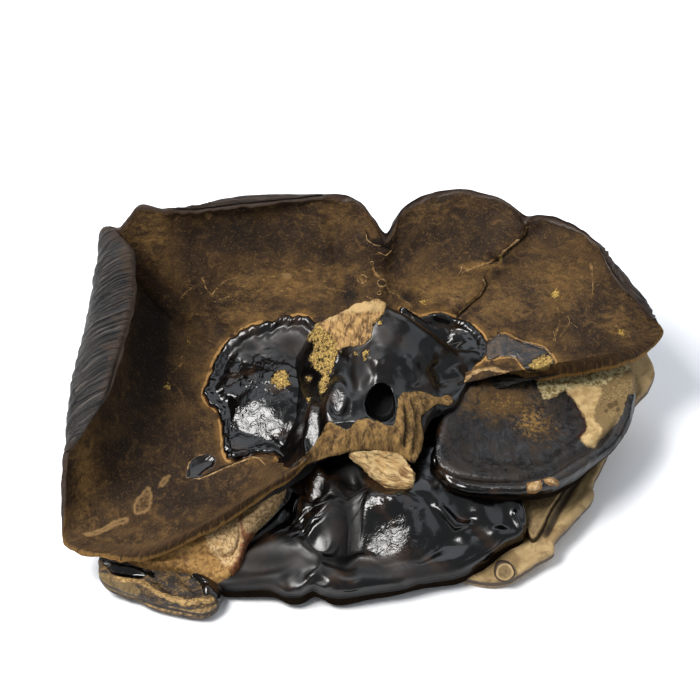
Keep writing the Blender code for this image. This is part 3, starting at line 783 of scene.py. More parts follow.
def inside_distance(places, outline):
    """Pixels from a closed outline, positive inside it."""
    outline = closed_curve(outline, 3)
    gap, _ = line_distance(places, np.vstack([outline, outline[:1]]))
    within = np.zeros(places.shape[:-1], bool)
    for a, b in zip(outline, np.roll(outline, -1, axis=0)):
        crosses = (a[1] > places[..., 1]) != (b[1] > places[..., 1])
        at = (b[0] - a[0]) * (places[..., 1] - a[1]) / ((b[1] - a[1]) or 1e-9) + a[0]
        within ^= crosses & (places[..., 0] < at)
    return np.where(within, np.abs(gap), -np.abs(gap))


def inside_any(places, outlines):
    """Pixels from the nearest of several outlines, positive inside one."""
    return np.max([inside_distance(places, outline) for outline in outlines], axis=0)


def soft_areas(places, areas):
    """A field of soft spots: the strongest one wins."""
    field = np.zeros(places.shape[:-1])
    for u, v, half_u, half_v, strength in areas:
        gap = ((places[..., 0] - u) / half_u) ** 2 + ((places[..., 1] - v) / half_v) ** 2
        field = np.maximum(field, strength * np.exp(-gap))
    return field


def turned(grid, mask, areas):
    """Flatten soft areas of a skin and tilt them until they face a wanted way."""
    for u, v, half_u, half_v, share, wanted in areas:
        places = pixels(grid)
        near = ((places[..., 0] - u) / half_u) ** 2 + ((places[..., 1] - v) / half_v) ** 2
        soft = np.exp(-near * near) * mask
        weight = soft * (near < 1.5) + 1e-9 * mask
        middle = (grid * weight[..., None]).sum(axis=(0, 1)) / weight.sum()
        slope = -np.array(wanted[:2]) / wanted[2]
        level = middle[2] + (grid[..., :2] - middle[:2]) @ slope
        grid[..., 2] += np.clip(share * soft * (level - grid[..., 2]), -8.0, 8.0)
    return grid


def line_relief(places, lines):
    """Ridges and grooves along lines, in millimetres."""
    height = np.zeros(places.shape[:-1])
    for line, rise, width in lines:
        gap, share = line_distance(places, line)
        ends = ease(share, 0.0, 0.25) * ease(1.0 - share, 0.0, 0.25)
        height += rise * np.exp(-((gap / width) ** 2)) * ends
    return height


def step_relief(places, steps):
    """Steps up on the right-hand side of lines, in millimetres."""
    height = np.zeros(places.shape[:-1])
    for line, rise, reach in steps:
        gap, share = line_distance(places, line)
        ends = ease(share, 0.0, 0.1) * ease(1.0 - share, 0.0, 0.15)
        up = ease(gap, -0.8, 0.8) * np.exp(-((gap / reach) ** 2))
        down = 0.5 * np.exp(-(((gap + 1.5) / 2.0) ** 2))
        height += rise * (up - down) * ends
    return height


def skin_piece(name, grids, fields, looks, look_at=None):
    """One closed mesh, or several in one, from profiles that start in one point and end in another."""
    points, faces, values, kinds = [], [], {key: [] for key in fields}, []
    count = 0
    for number, grid in enumerate(grids):
        around, along = grid.shape[:2]
        rings = along - 2
        block = np.vstack([grid[:, 1:-1].reshape(-1, 3), grid[:, 0].mean(axis=0), grid[:, -1].mean(axis=0)])
        first, last = count + len(block) - 2, count + len(block) - 1
        start = len(faces)
        for i in range(around):
            a, b = count + i * rings, count + (i + 1) % around * rings
            faces.append((first, a, b))
            faces.append((last, b + rings - 1, a + rings - 1))
            faces += [(a + k, a + k + 1, b + k + 1, b + k) for k in range(rings - 1)]
            if look_at is not None:
                kinds += [0, look_at(rings)] + [look_at(k + 1) for k in range(rings - 1)]
        if inside_out(block, faces[start:], count):
            faces[start:] = [face[::-1] for face in faces[start:]]
        for key, field in fields.items():
            field = field[number] if isinstance(field, list) else field
            values[key].append(np.concatenate([field[:, 1:-1].ravel(), [field[:, 0].mean()], [field[:, -1].mean()]]))
        points.append(block)
        count += len(block)
    mesh = bpy.data.meshes.new(name)
    mesh.from_pydata(((np.vstack(points) - SHIFT) * 0.001).tolist(), [], faces)
    for key in fields:
        layer = mesh.attributes.new(key, "FLOAT", "POINT")
        layer.data.foreach_set("value", np.concatenate(values[key]).astype(np.float32))
    for look in looks:
        mesh.materials.append(look)
    if look_at is not None:
        mesh.polygons.foreach_set("material_index", kinds)
    mesh.shade_smooth()
    piece = bpy.data.objects.new(name, mesh)
    bpy.context.scene.collection.objects.link(piece)
    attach(piece, "root")
    return piece


def inside_out(points, faces, start):
    """True where a closed skin's faces point inwards."""
    volume = 0.0
    for corners in (3, 4):
        group = np.array([face for face in faces if len(face) == corners]) - start
        if len(group):
            for k in range(1, corners - 1):
                a, b, c = points[group[:, 0]], points[group[:, k]], points[group[:, k + 1]]
                volume += np.einsum("ij,ij->i", a, np.cross(b, c)).sum()
    return volume < 0.0


def above_ground(grid):
    """The skin with nothing below the ground."""
    grid[..., 2] = np.maximum(grid[..., 2], GROUND)
    return grid


class Look:
    """One material, and short calls that add nodes to it. Sizes are in millimetres."""

    def __init__(self, name):
        self.material = bpy.data.materials.new(name)
        self.material.use_nodes = True
        self.nodes = self.material.node_tree.nodes
        self.links = self.material.node_tree.links
        self.shader = self.nodes["Principled BSDF"]
        self.place = self.nodes.new("ShaderNodeTexCoord").outputs["Object"]

    def feed(self, socket, value):
        if isinstance(value, bpy.types.NodeSocket):
            self.links.new(value, socket)
        else:
            socket.default_value = value

    def attribute(self, name):
        node = self.nodes.new("ShaderNodeAttribute")
        node.attribute_name = name
        return node.outputs["Fac"]

    def calc(self, operation, a, b=0.0, c=0.0):
        node = self.nodes.new("ShaderNodeMath")
        node.operation = operation
        for socket, value in zip(node.inputs, (a, b, c)):
            self.feed(socket, value)
        return node.outputs[0]

    def stretched(self, x, y, z, turn=0.0):
        """Coordinates that make a texture longer along each axis by 1 / x and so on, turned in plan."""
        node = self.nodes.new("ShaderNodeMapping")
        node.vector_type = "TEXTURE"
        self.feed(node.inputs["Vector"], self.place)
        node.inputs["Rotation"].default_value = (0.0, 0.0, math.radians(turn))
        node.inputs["Scale"].default_value = (1.0 / x, 1.0 / y, 1.0 / z)
        return node.outputs[0]

    def combined(self, x, y, z=0.0):
        node = self.nodes.new("ShaderNodeCombineXYZ")
        for socket, value in zip(node.inputs, (x, y, z)):
            self.feed(socket, value)
        return node.outputs[0]

    def track(self, across, along, stretch):
        """Coordinates from two attributes in millimetres, for marks that run far along the second."""
        x = self.calc("MULTIPLY", self.attribute(across), 0.001)
        return self.combined(x, self.calc("MULTIPLY", self.attribute(along), 0.001 / stretch))

    def noise(self, size, detail=3.0, roughness=0.55, distortion=0.0, place=None):
        node = self.nodes.new("ShaderNodeTexNoise")
        self.feed(node.inputs["Vector"], place or self.place)
        node.inputs["Scale"].default_value = 1000.0 / size
        node.inputs["Detail"].default_value = detail
        node.inputs["Roughness"].default_value = roughness
        node.inputs["Distortion"].default_value = distortion
        return node.outputs["Fac"]

    def cells(self, size, feature="F1"):
        node = self.nodes.new("ShaderNodeTexVoronoi")
        node.feature = feature
        self.feed(node.inputs["Vector"], self.place)
        node.inputs["Scale"].default_value = 1000.0 / size
        return node.outputs["Distance"]

    def rise(self, value, low, high, to_low=0.0, to_high=1.0):
        node = self.nodes.new("ShaderNodeMapRange")
        node.interpolation_type = "SMOOTHSTEP"
        for socket, given in zip(node.inputs, (value, low, high, to_low, to_high)):
            self.feed(socket, given)
        return node.outputs[0]

    def blend(self, share, a, b):
        node = self.nodes.new("ShaderNodeMix")
        node.data_type = "RGBA"
        self.feed(node.inputs[0], share)
        self.feed(node.inputs[6], a)
        self.feed(node.inputs[7], b)
        return node.outputs[2]

    def lerp(self, share, a, b):
        node = self.nodes.new("ShaderNodeMix")
        self.feed(node.inputs[0], share)
        self.feed(node.inputs[2], a)
        self.feed(node.inputs[3], b)
        return node.outputs[0]

    def layer(self, below, above, share):
        """One finish over another: each is a colour, a roughness and a height in millimetres."""
        return (
            self.blend(share, below[0], above[0]),
            self.lerp(share, below[1], above[1]),
            self.lerp(share, below[2], above[2]),
        )

    def within(self, name, wobble=1.5, size=2.0, soft=0.5):
        """1 inside the outline whose pixel distance an attribute holds, with a broken edge."""
        shaken = self.calc("MULTIPLY_ADD", self.noise(size, 3.0), 2.0 * wobble, self.attribute(name))
        return self.rise(self.calc("SUBTRACT", shaken, wobble), -soft, soft)

    def finish(self, finish):
        colour, roughness, height = finish
        self.feed(self.shader.inputs["Base Color"], colour)
        self.feed(self.shader.inputs["Roughness"], roughness)
        bump = self.nodes.new("ShaderNodeBump")
        bump.inputs["Distance"].default_value = 1.0
        self.feed(bump.inputs["Height"], self.calc("MULTIPLY", height, 0.001))
        self.links.new(bump.outputs[0], self.shader.inputs["Normal"])
        return self.material


def wrinkled(look, finish, size, height):
    """A finish with wrinkles where the crinkle attribute says, and without shine where the matt one does."""
    wrinkles = look.calc("MULTIPLY", look.noise(size, 3.0, 0.55, 1.0), look.attribute("crinkle"))
    finish = (finish[0], finish[1], look.calc("MULTIPLY_ADD", wrinkles, height, finish[2]))
    # In the matt areas the colour is a painted dark brown sheen.
    sheen = look.blend(look.rise(look.noise(20.0, 3.0), 0.4, 0.65), tone(8, 7, 7), tone(36, 26, 19))
    return look.layer(finish, (sheen, 0.9, finish[2]), look.calc("MULTIPLY", look.attribute("matt"), 0.95))


def lacquer(look, dull=0.0, warmth=0.6):
    """Black lacquered crust: glossy, with a brown tint, smudges and fine scratches."""
    tint = look.rise(look.noise(26.0, 3.0), 0.52, 0.7, 0.0, warmth)
    colour = look.blend(tint, tone(13, 12, 12), tone(62, 44, 30))
    smudge = look.rise(look.noise(9.0, 5.0, 0.65), 0.45, 0.75)
    scratch = look.rise(look.noise(1.3, 2.0, place=look.stretched(1.0, 0.35, 0.2)), 0.6, 0.75)
    roughness = look.calc("MULTIPLY_ADD", smudge, 0.2, 0.14 + dull)
    roughness = look.calc("MULTIPLY_ADD", scratch, 0.08, roughness)
    height = look.calc("MULTIPLY_ADD", look.noise(7.0, 2.0), 0.07, look.calc("MULTIPLY", look.noise(1.4, 2.0), 0.012))
    return colour, roughness, height


def pore_face(look):
    """The dry brown face with its fine pores, in streaks of olive brown and ochre."""
    broad = look.rise(look.noise(34.0, 5.0, 0.62, 0.6), 0.38, 0.64)
    colour = look.blend(broad, tone(43, 32, 23), tone(74, 56, 36))
    patch = look.rise(look.noise(13.0, 5.0, 0.7, 0.8), 0.5, 0.64)
    colour = look.blend(look.calc("MULTIPLY", patch, 0.55), colour, tone(40, 29, 20))
    streak = look.rise(look.noise(7.0, 5.0, 0.7, 1.2, look.stretched(1.0, 0.6, 1.6)), 0.5, 0.7)
    colour = look.blend(look.calc("MULTIPLY", streak, 0.6), colour, tone(100, 75, 45))
    ochre = look.calc("MULTIPLY_ADD", look.noise(5.0, 6.0, 0.75, 0.8, look.stretched(0.6, 1.0, 1.4)), 2.2, look.attribute("ochre"))
    colour = look.blend(look.rise(ochre, 1.2, 2.2), colour, tone(112, 85, 50))
    # Darker where the dark field says: painted shade inside the left wall, darker patches elsewhere.
    dark = look.calc("MULTIPLY_ADD", look.noise(8.0, 5.0, 0.65), 1.2, look.attribute("dark"))
    colour = look.blend(look.rise(dark, 0.7, 1.4), colour, tone(31, 23, 17))
    fine = look.noise(1.1, 4.0, 0.7)
    colour = look.blend(look.calc("MULTIPLY", look.rise(fine, 0.58, 0.72), 0.55), colour, tone(140, 108, 66))
    colour = look.blend(look.calc("MULTIPLY", look.rise(fine, 0.44, 0.34), 0.6), colour, tone(26, 19, 14))
    pores = look.rise(look.cells(0.75), 0.0, 0.5)
    height = look.calc("MULTIPLY_ADD", pores, 0.12, look.calc("MULTIPLY", look.noise(3.0, 5.0, 0.7), 0.6))
    return colour, look.lerp(broad, 0.66, 0.8), height


def tube_layer(look):
    """The tubes seen from the side along the lips: fine uneven stripes across the edge."""
    stripe = look.noise(1.5, 4.0, 0.7, 0.3, look.track("along", "rim_gap", 7.0))
    depth = look.rise(look.calc("MULTIPLY_ADD", look.noise(5.0, 4.0, 0.7), 4.0, look.attribute("rim_gap")), 3.6, 6.4)
    colour = look.blend(depth, tone(124, 94, 54), tone(62, 46, 30))
    colour = look.blend(look.rise(stripe, 0.52, 0.68, 0.0, 0.6), colour, tone(112, 84, 50))
    colour = look.blend(look.rise(stripe, 0.48, 0.36, 0.0, 0.75), colour, tone(30, 22, 15))
    return colour, 0.75, look.calc("MULTIPLY", stripe, 0.5)


def outer_crust(look):
    """The cap's outer side: dark grey satin with fine overlapping ridges, browner near the rim."""
    broad = look.rise(look.noise(18.0, 4.0, 0.6), 0.4, 0.7)
    colour = look.blend(broad, tone(31, 28, 27), tone(50, 46, 43))
    streak = look.noise(2.8, 5.0, 0.68, 0.6, look.track("ridge_run", "ridge_along", 6.0))
    # Painted highlight on the raised streaks and painted shade on the low ones: the bump below rises and falls with the
    # same streaks.
    colour = look.blend(look.rise(streak, 0.53, 0.66, 0.0, 0.65), colour, tone(94, 87, 81))
    colour = look.blend(look.rise(streak, 0.47, 0.36, 0.0, 0.85), colour, tone(20, 17, 16))
    waves = look.noise(5.0, 4.0, 0.6, 0.5, look.track("ridge_run", "ridge_along", 7.0))
    line = look.rise(look.calc("ABSOLUTE", look.calc("SUBTRACT", waves, 0.5)), 0.035, 0.008)
    colour = look.blend(look.calc("MULTIPLY", line, 0.9), colour, tone(15, 12, 11))
    brown = look.calc("SUBTRACT", look.calc("MULTIPLY", look.noise(11.0, 5.0, 0.7), 38.0), look.attribute("rim_gap"))
    colour = look.blend(look.rise(brown, 1.0, 9.0, 0.0, 0.8), colour, tone(58, 43, 31))
    fine = look.noise(1.2, 4.0, 0.7)
    height = look.calc("MULTIPLY_ADD", fine, 0.35, look.calc("MULTIPLY", streak, 2.4))
    height = look.calc("MULTIPLY_ADD", line, -1.2, height)
    flesh = look.blend(look.rise(look.noise(2.0, 4.0, 0.7), 0.38, 0.62), tone(96, 70, 38), tone(164, 128, 76))
    under_lip = look.calc("MULTIPLY_ADD", look.noise(6.0, 4.0, 0.7), -7.0, look.attribute("rim_gap"))
    share = look.calc("MULTIPLY", look.attribute("lip"), look.rise(under_lip, 4.5, 3.0))
    return look.layer((colour, look.lerp(broad, 0.42, 0.58), height), (flesh, 0.75, fine), share)


def fibres(look, x, y, z, dark, light):
    """Torn flesh: golden tan with long fibres and dark gaps between some of them."""
    strand = look.noise(1.5, 5.0, 0.66, 0.5, look.stretched(x, y, z))
    wide = look.noise(5.0, 4.0, 0.6, 0.4, look.stretched(x, y, z))
    mixed = look.calc("MULTIPLY_ADD", strand, 0.5, look.calc("MULTIPLY", wide, 0.5))
    colour = look.blend(look.rise(mixed, 0.38, 0.6), tone(*dark), tone(*light))
    colour = look.blend(look.rise(look.noise(12.0, 4.0), 0.46, 0.66, 0.0, 0.5), colour, tone(104, 74, 34))
    gaps = look.rise(look.noise(3.4, 4.0, 0.6, 0.6, look.stretched(x, y, z)), 0.38, 0.31, 0.0, 0.45)
    colour = look.blend(gaps, colour, tone(34, 21, 10))
    return colour, 0.85, look.calc("MULTIPLY_ADD", gaps, -0.8, look.calc("MULTIPLY", mixed, 1.2))


def cream_flesh(look):
    """Pale broken flesh with a fine grain."""
    fine = look.noise(1.8, 5.0, 0.72)
    colour = look.blend(look.rise(fine, 0.34, 0.62), tone(112, 84, 50), tone(190, 160, 116))
    colour = look.blend(look.rise(look.noise(7.0, 4.0, 0.7), 0.5, 0.7, 0.0, 0.7), colour, tone(152, 116, 66))
    return colour, 0.85, look.calc("MULTIPLY", fine, 0.6)


def gold_crumbs(look):
    """Yellow crust in fine crumbs."""
    crumb = look.noise(1.1, 5.0, 0.72, 0.6)
    colour = look.blend(look.rise(crumb, 0.4, 0.6), tone(92, 64, 24), tone(204, 170, 94))
    return colour, 0.8, look.calc("MULTIPLY", crumb, 1.4)


def scattered(look, name, low=9.0):
    """A share that covers most of an area and breaks up into crumbs towards its edge."""
    field = look.calc("MULTIPLY_ADD", look.noise(2.8, 5.0, 0.75), 16.0, look.attribute(name))
    return look.rise(field, low, low + 1.2)


def tan_pores(look):
    """The light sheet's pore face, with faint growth lines."""
    broad = look.rise(look.noise(20.0, 4.0, 0.6), 0.35, 0.7)
    colour = look.blend(broad, tone(134, 110, 74), tone(172, 146, 102))
    colour = look.blend(look.rise(look.noise(1.0, 4.0, 0.7), 0.55, 0.75, 0.0, 0.5), colour, tone(110, 86, 54))
    height = look.calc("MULTIPLY_ADD", look.rise(look.cells(0.8), 0.0, 0.5), 0.08, look.calc("MULTIPLY", look.noise(5.0, 3.0), 0.3))
    return colour, 0.78, height


def cap_top_look():
    look = Look("pore_face")
    look.shader.inputs["Specular IOR Level"].default_value = 0.15
    finish = pore_face(look)
    reach = look.calc("MULTIPLY_ADD", look.noise(9.0, 4.0), 10.0, look.attribute("rim_gap"))
    band = look.calc("MULTIPLY", look.attribute("lip"), look.rise(reach, 24.0, 15.0))
    finish = look.layer(finish, tube_layer(look), band)
    patchy = look.rise(look.noise(11.0, 4.0, 0.6), 0.38, 0.6)
    around = look.calc("MULTIPLY_ADD", look.noise(4.0, 4.0, 0.7), 9.0, look.attribute("coat_gap"))
    share = look.calc("MULTIPLY", patchy, look.rise(around, -5.0, 1.5, 0.0, 0.45))
    finish = look.layer(finish, (tone(122, 90, 50), 0.7, finish[2]), share)
    near = look.calc("MULTIPLY_ADD", look.noise(3.0, 4.0, 0.7), 1.6, look.attribute("coat_gap"))
    share = look.calc("MULTIPLY", look.rise(patchy, 0.1, 0.9, 0.0, 0.85), look.rise(near, -1.6, -0.6))
    finish = look.layer(finish, (tone(158, 120, 72), 0.7, finish[2]), share)
    edge = look.rise(look.calc("MULTIPLY_ADD", look.noise(3.5, 5.0, 0.7), 5.0, look.attribute("rim_gap")), 3.2, 2.0)
    rim = look.blend(look.attribute("lip"), tone(36, 27, 20), tone(118, 86, 50))
    finish = look.layer(finish, (rim, 0.7, finish[2]), look.calc("MULTIPLY", edge, 0.8))
    broken = look.calc("MULTIPLY_ADD", look.noise(7.0, 3.0), 5.0, look.attribute("scratch"))
    flecks = look.calc("MULTIPLY_ADD", look.noise(1.3, 5.0, 0.8), 6.0, broken)
    finish = look.layer(finish, (tone(152, 118, 72), 0.7, finish[2]), look.rise(flecks, 6.4, 8.4, 0.0, 0.75))
    crack = look.calc("MULTIPLY_ADD", look.noise(3.0, 4.0, 0.7), 2.4, look.attribute("crack"))
    finish = look.layer(finish, (tone(20, 14, 10), 0.7, finish[2]), look.rise(crack, 2.2, 3.2, 0.0, 0.92))
    inside = look.blend(look.rise(look.noise(2.6, 5.0, 0.7), 0.4, 0.62), tone(62, 47, 32), tone(100, 78, 52))
    ring = look.rise(look.calc("MULTIPLY_ADD", look.noise(3.0, 3.0), 1.6, look.attribute("scar")), 3.4, 2.0)
    scar = look.blend(ring, inside, tone(116, 91, 60))
    finish = look.layer(finish, (scar, 0.8, 0.2), look.within("scar", 2.6, 2.4, 1.3))
    finish = look.layer(finish, gold_crumbs(look), scattered(look, "gold", 8.0))
    return look.finish(finish)


def cap_crust_look():
    look = Look("outer_crust")
    look.shader.inputs["Specular IOR Level"].default_value = 0.36
    return look.finish(outer_crust(look))


def coat_look():
    look = Look("black_layer")
    finish = lacquer(look)
    finish = wrinkled(look, finish, 6.0, 1.2)
    satin = look.blend(look.rise(look.noise(6.0, 5.0, 0.7), 0.4, 0.62), tone(30, 29, 32), tone(80, 62, 44))
    finish = look.layer(finish, (satin, 0.42, look.calc("MULTIPLY", look.noise(2.0, 4.0, 0.7), 0.3)), look.attribute("dull"))
    ragged = look.calc("MULTIPLY_ADD", look.noise(5.0, 4.0), 2.0, look.attribute("edge_gap"))
    finish = look.layer(finish, (tone(74, 50, 29), 0.5, 0.1), look.rise(ragged, 1.6, 0.9))
    finish = look.layer(finish, gold_crumbs(look), scattered(look, "gold", 8.0))
    return look.finish(finish)


def stem_look():
    look = Look("stem_lacquer")
    finish = wrinkled(look, lacquer(look, 0.04, 0.25), 5.0, 0.9)
    top = fibres(look, 1.2, 0.5, 0.5, (70, 46, 22), (170, 134, 84))
    pale_top = look.calc("MULTIPLY_ADD", look.noise(3.0, 5.0, 0.7), 1.2, look.attribute("bright"))
    top = look.layer(top, (tone(176, 146, 100), 0.85, top[2]), look.rise(pale_top, 0.8, 1.3, 0.0, 0.85))
    finish = look.layer(finish, top, look.within("torn_top", 3.0, 3.5))
    band = fibres(look, 1.3, 1.3, 0.09, (58, 40, 19), (142, 110, 62))
    # Painted shade in the torn band's grooves, darkest where the folds cut deepest.
    shade_in_folds = look.calc("MULTIPLY_ADD", look.noise(2.0, 4.0, 0.7), 0.8, look.attribute("fold_shade"))
    band = look.layer(band, (tone(44, 28, 13), 0.85, band[2]), look.rise(shade_in_folds, 0.8, 1.6, 0.0, 0.85))
    finish = look.layer(finish, band, look.within("torn_band", 1.2, 1.6))
    finish = look.layer(finish, gold_crumbs(look), scattered(look, "gold"))
    # Painted shade: the inside of the hole is near black.
    finish = look.layer(finish, (tone(4, 3, 3), 0.95, 0.0), look.attribute("pit_shade"))
    return look.finish(finish)


def front_look(name, shine):
    look = Look(name)
    look.shader.inputs["Specular IOR Level"].default_value = shine
    return look.finish(wrinkled(look, lacquer(look), 5.0, 0.9))


# Painted shade for the lobes' undersides: dark and without any shine.
def shaded_underside_look():
    look = Look("lobe_underside_shaded")
    look.shader.inputs["Specular IOR Level"].default_value = 0.0
    height = look.calc("MULTIPLY", look.noise(4.0, 5.0, 0.7), 0.8)
    return look.finish((look.blend(look.noise(9.0, 4.0, 0.7), tone(12, 11, 11), tone(40, 33, 27)), 0.9, height))


def right_look(name, shine):
    """The right lobe's finishes: dusty crust, torn pale flesh and the glossy margin."""
    look = Look(name)
    look.shader.inputs["Specular IOR Level"].default_value = shine
    finish = lacquer(look, 0.1)
    crinkle = look.calc("MULTIPLY", look.noise(2.6, 4.0, 0.6, 1.0), look.attribute("crinkle"))
    finish = (finish[0], finish[1], look.calc("MULTIPLY_ADD", crinkle, 0.8, finish[2]))
    grime = look.rise(look.noise(16.0, 5.0, 0.7, 0.8), 0.42, 0.62)
    streaky = look.noise(6.0, 5.0, 0.75, 0.5, look.stretched(1.1, 0.7, 1.0))
    soot = look.blend(look.rise(streaky, 0.42, 0.62), tone(19, 17, 16), tone(42, 40, 41))
    sheen = look.noise(3.4, 5.0, 0.72, 0.4, look.stretched(1.4, 0.35, 1.0))
    uneven = look.calc("MULTIPLY_ADD", sheen, 0.5, finish[2])
    soft = look.lerp(look.rise(sheen, 0.42, 0.6), 0.22, 0.52)
    finish = look.layer(finish, (soot, soft, uneven), look.calc("MULTIPLY", look.attribute("dish"), 0.9))
    finish = look.layer(finish, (tone(40, 32, 24), 0.5, finish[2]), look.calc("MULTIPLY", grime, look.attribute("dish")))
    grit = look.calc("MULTIPLY", look.noise(1.2, 4.0, 0.7), 0.6)
    dust = look.calc("MULTIPLY_ADD", look.noise(4.6, 6.0, 0.82, 0.5), 2.2, look.attribute("dust"))
    finish = look.layer(finish, (tone(84, 62, 34), 0.75, grit), look.rise(dust, 1.6, 2.1, 0.0, 0.85))
    gold_dust = look.calc("MULTIPLY_ADD", look.noise(2.4, 6.0, 0.85), 2.6, look.attribute("gold_dust"))
    finish = look.layer(finish, (tone(132, 100, 52), 0.8, grit), look.rise(gold_dust, 1.95, 2.3))
    finish = look.layer(finish, (tone(44, 24, 18), 0.4, 0.0), look.within("red_line", 3.0, 4.0))
    pores = look.rise(look.noise(1.4, 4.0, 0.7), 0.4, 0.62)
    tan = look.blend(pores, tone(96, 78, 50), tone(136, 114, 78))
    tan = look.blend(look.rise(look.noise(12.0, 4.0, 0.6), 0.42, 0.62), tan, tone(112, 92, 60))
    finish = look.layer(finish, (tan, 0.8, grit), look.within("cream", 3.0, 4.0))
    pale = look.blend(look.rise(look.noise(6.0, 4.0, 0.6), 0.36, 0.6), tone(150, 124, 82), tone(184, 156, 110))
    finish = look.layer(finish, (pale, 0.8, grit), look.within("strip", 4.0, 5.0, 1.5))
    spots = look.within("spots", 1.5, 2.0, 0.8)
    finish = look.layer(finish, (tone(72, 56, 34), 0.8, grit), look.calc("MULTIPLY", spots, 0.8))
    speckles = look.blend(look.rise(look.noise(2.6, 5.0, 0.75), 0.42, 0.58), tone(104, 86, 52), tone(190, 176, 132))
    finish = look.layer(finish, (speckles, 0.85, grit), look.calc("MULTIPLY", look.within("speckled", 5.0, 4.0, 1.5), 0.85))
    finish = look.layer(finish, lacquer(look, 0.0), look.rise(look.attribute("rim_gap"), 7.5, 6.0))
    finish = look.layer(finish, (tone(118, 84, 44), 0.6, 0.0), look.within("worn", 3.0, 3.0))
    inner = look.rise(look.calc("MULTIPLY_ADD", look.noise(2.0, 4.0), 1.5, look.attribute("worn")), 2.2, 3.0)
    return look.finish(look.layer(finish, cream_flesh(look), inner))


def sheet_look():
    look = Look("tan_pores")
    finish = tan_pores(look)
    lines = look.noise(9.0, 5.0, 0.65, 0.6)
    finish = look.layer(finish, (tone(104, 82, 50), 0.8, finish[2]), look.rise(lines, 0.5, 0.62, 0.0, 0.6))
    # Painted shadow along the creases beside the flap and the front lobe.
    shade = look.calc("MULTIPLY_ADD", look.noise(5.0, 4.0, 0.7), 1.6, look.attribute("crease_shade"))
    finish = look.layer(finish, (tone(34, 24, 16), 0.6, finish[2]), look.rise(shade, 1.3, 3.4, 0.0, 0.88))
    edge = look.calc("MULTIPLY_ADD", look.noise(3.0, 4.0), 1.5, look.attribute("rim_gap"))
    finish = look.layer(finish, (tone(60, 42, 28), 0.5, 0.1), look.rise(edge, 2.5, 1.8))
    return look.finish(finish)


def flap_look():
    """The raised flap and nub: browner inside, with a light rim and a thin dark edge."""
    look = Look("flap_pores")
    finish = tan_pores(look)
    inner = look.blend(look.rise(look.noise(3.0, 5.0, 0.7), 0.36, 0.64), tone(92, 74, 48), tone(126, 104, 70))
    edge = look.calc("MULTIPLY_ADD", look.noise(4.0, 4.0), 1.0, look.attribute("rim_gap"))
    finish = look.layer(finish, (inner, 0.8, finish[2]), look.rise(edge, 1.8, 3.0, 0.0, 0.9))
    finish = look.layer(finish, (tone(48, 34, 22), 0.6, 0.1), look.rise(edge, 1.15, 0.8))
    return look.finish(finish)


def small_look():
    look = Look("small_lobe_crust")
    mottle = look.noise(5.0, 6.0, 0.75, 0.6, look.stretched(0.6, 1.0, 1.0))
    colour = look.blend(look.rise(mottle, 0.46, 0.64), tone(30, 22, 15), tone(104, 78, 42))
    colour = look.blend(look.rise(look.noise(1.8, 5.0, 0.72), 0.56, 0.68, 0.0, 0.6), colour, tone(160, 126, 72))
    finish = (colour, 0.7, look.calc("MULTIPLY", mottle, 1.2))
    olive = look.blend(look.rise(look.noise(2.0, 5.0, 0.7), 0.4, 0.6), tone(88, 71, 42), tone(118, 96, 58))
    finish = look.layer(finish, (olive, 0.75, 0.2), look.within("patch", 3.0, 4.0, 1.5))
    pale = look.blend(look.rise(look.noise(2.4, 4.0, 0.7), 0.4, 0.6), tone(104, 80, 46), tone(164, 132, 82))
    finish = look.layer(finish, (pale, 0.75, 0.3), look.within("pale", 4.0, 3.0, 1.0))
    finish = look.layer(finish, lacquer(look), look.within("black", 1.5, 3.0))
    edge = look.calc("MULTIPLY_ADD", look.noise(3.0, 4.0), 2.5, look.attribute("rim_gap"))
    finish = look.layer(finish, (tone(38, 29, 22), 0.6, 0.2), look.rise(edge, 2.8, 1.8))
    return look.finish(finish)


def tissue_look():
    look = Look("pale_tissue")
    mottle = look.noise(3.4, 6.0, 0.7, 0.6)
    colour = look.blend(look.rise(mottle, 0.38, 0.62), tone(98, 68, 34), tone(160, 122, 68))
    streaks = look.rise(look.noise(6.0, 5.0, 0.7, 0.6, look.stretched(0.6, 1.4, 1.4)), 0.5, 0.64, 0.0, 0.7)
    finish = (look.blend(streaks, colour, tone(148, 110, 56)), 0.8, look.calc("MULTIPLY", mottle, 1.0))
    rust = look.blend(look.rise(look.noise(2.4, 5.0, 0.7), 0.42, 0.6), tone(78, 44, 26), tone(134, 84, 50))
    finish = look.layer(finish, (rust, 0.8, 0.2), look.within("red_edge", 4.0, 3.0))
    finish = look.layer(finish, cream_flesh(look), look.within("cream", 4.0, 4.0, 1.6))
    return look.finish(finish)


def chunk_look():
    look = Look("broken_flesh")
    grainy = look.noise(3.4, 6.0, 0.72, 0.8, look.stretched(0.22, 1.0, 1.0, -32.0))
    colour = look.blend(look.rise(grainy, 0.38, 0.56), tone(108, 78, 44), tone(190, 162, 114))
    colour = look.blend(look.rise(look.noise(9.0, 4.0, 0.6), 0.48, 0.66, 0.0, 0.7), colour, tone(158, 122, 74))
    cracks = look.rise(look.noise(2.2, 5.0, 0.8, 1.0, look.stretched(0.3, 1.0, 1.0, -32.0)), 0.4, 0.32)
    colour = look.blend(cracks, colour, tone(84, 52, 28))
    return look.finish((colour, 0.85, look.calc("MULTIPLY_ADD", cracks, -0.6, look.calc("MULTIPLY", grainy, 1.6))))


def ridge_look():
    look = Look("pale_ridges")
    colour = look.blend(look.rise(look.noise(2.0, 4.0, 0.7), 0.35, 0.7), tone(104, 78, 46), tone(168, 136, 90))
    return look.finish((colour, 0.8, look.calc("MULTIPLY", look.noise(0.8, 3.0), 0.2)))


def dark_look():
    look = Look("dark_hollow")
    return look.finish(lacquer(look, 0.25))


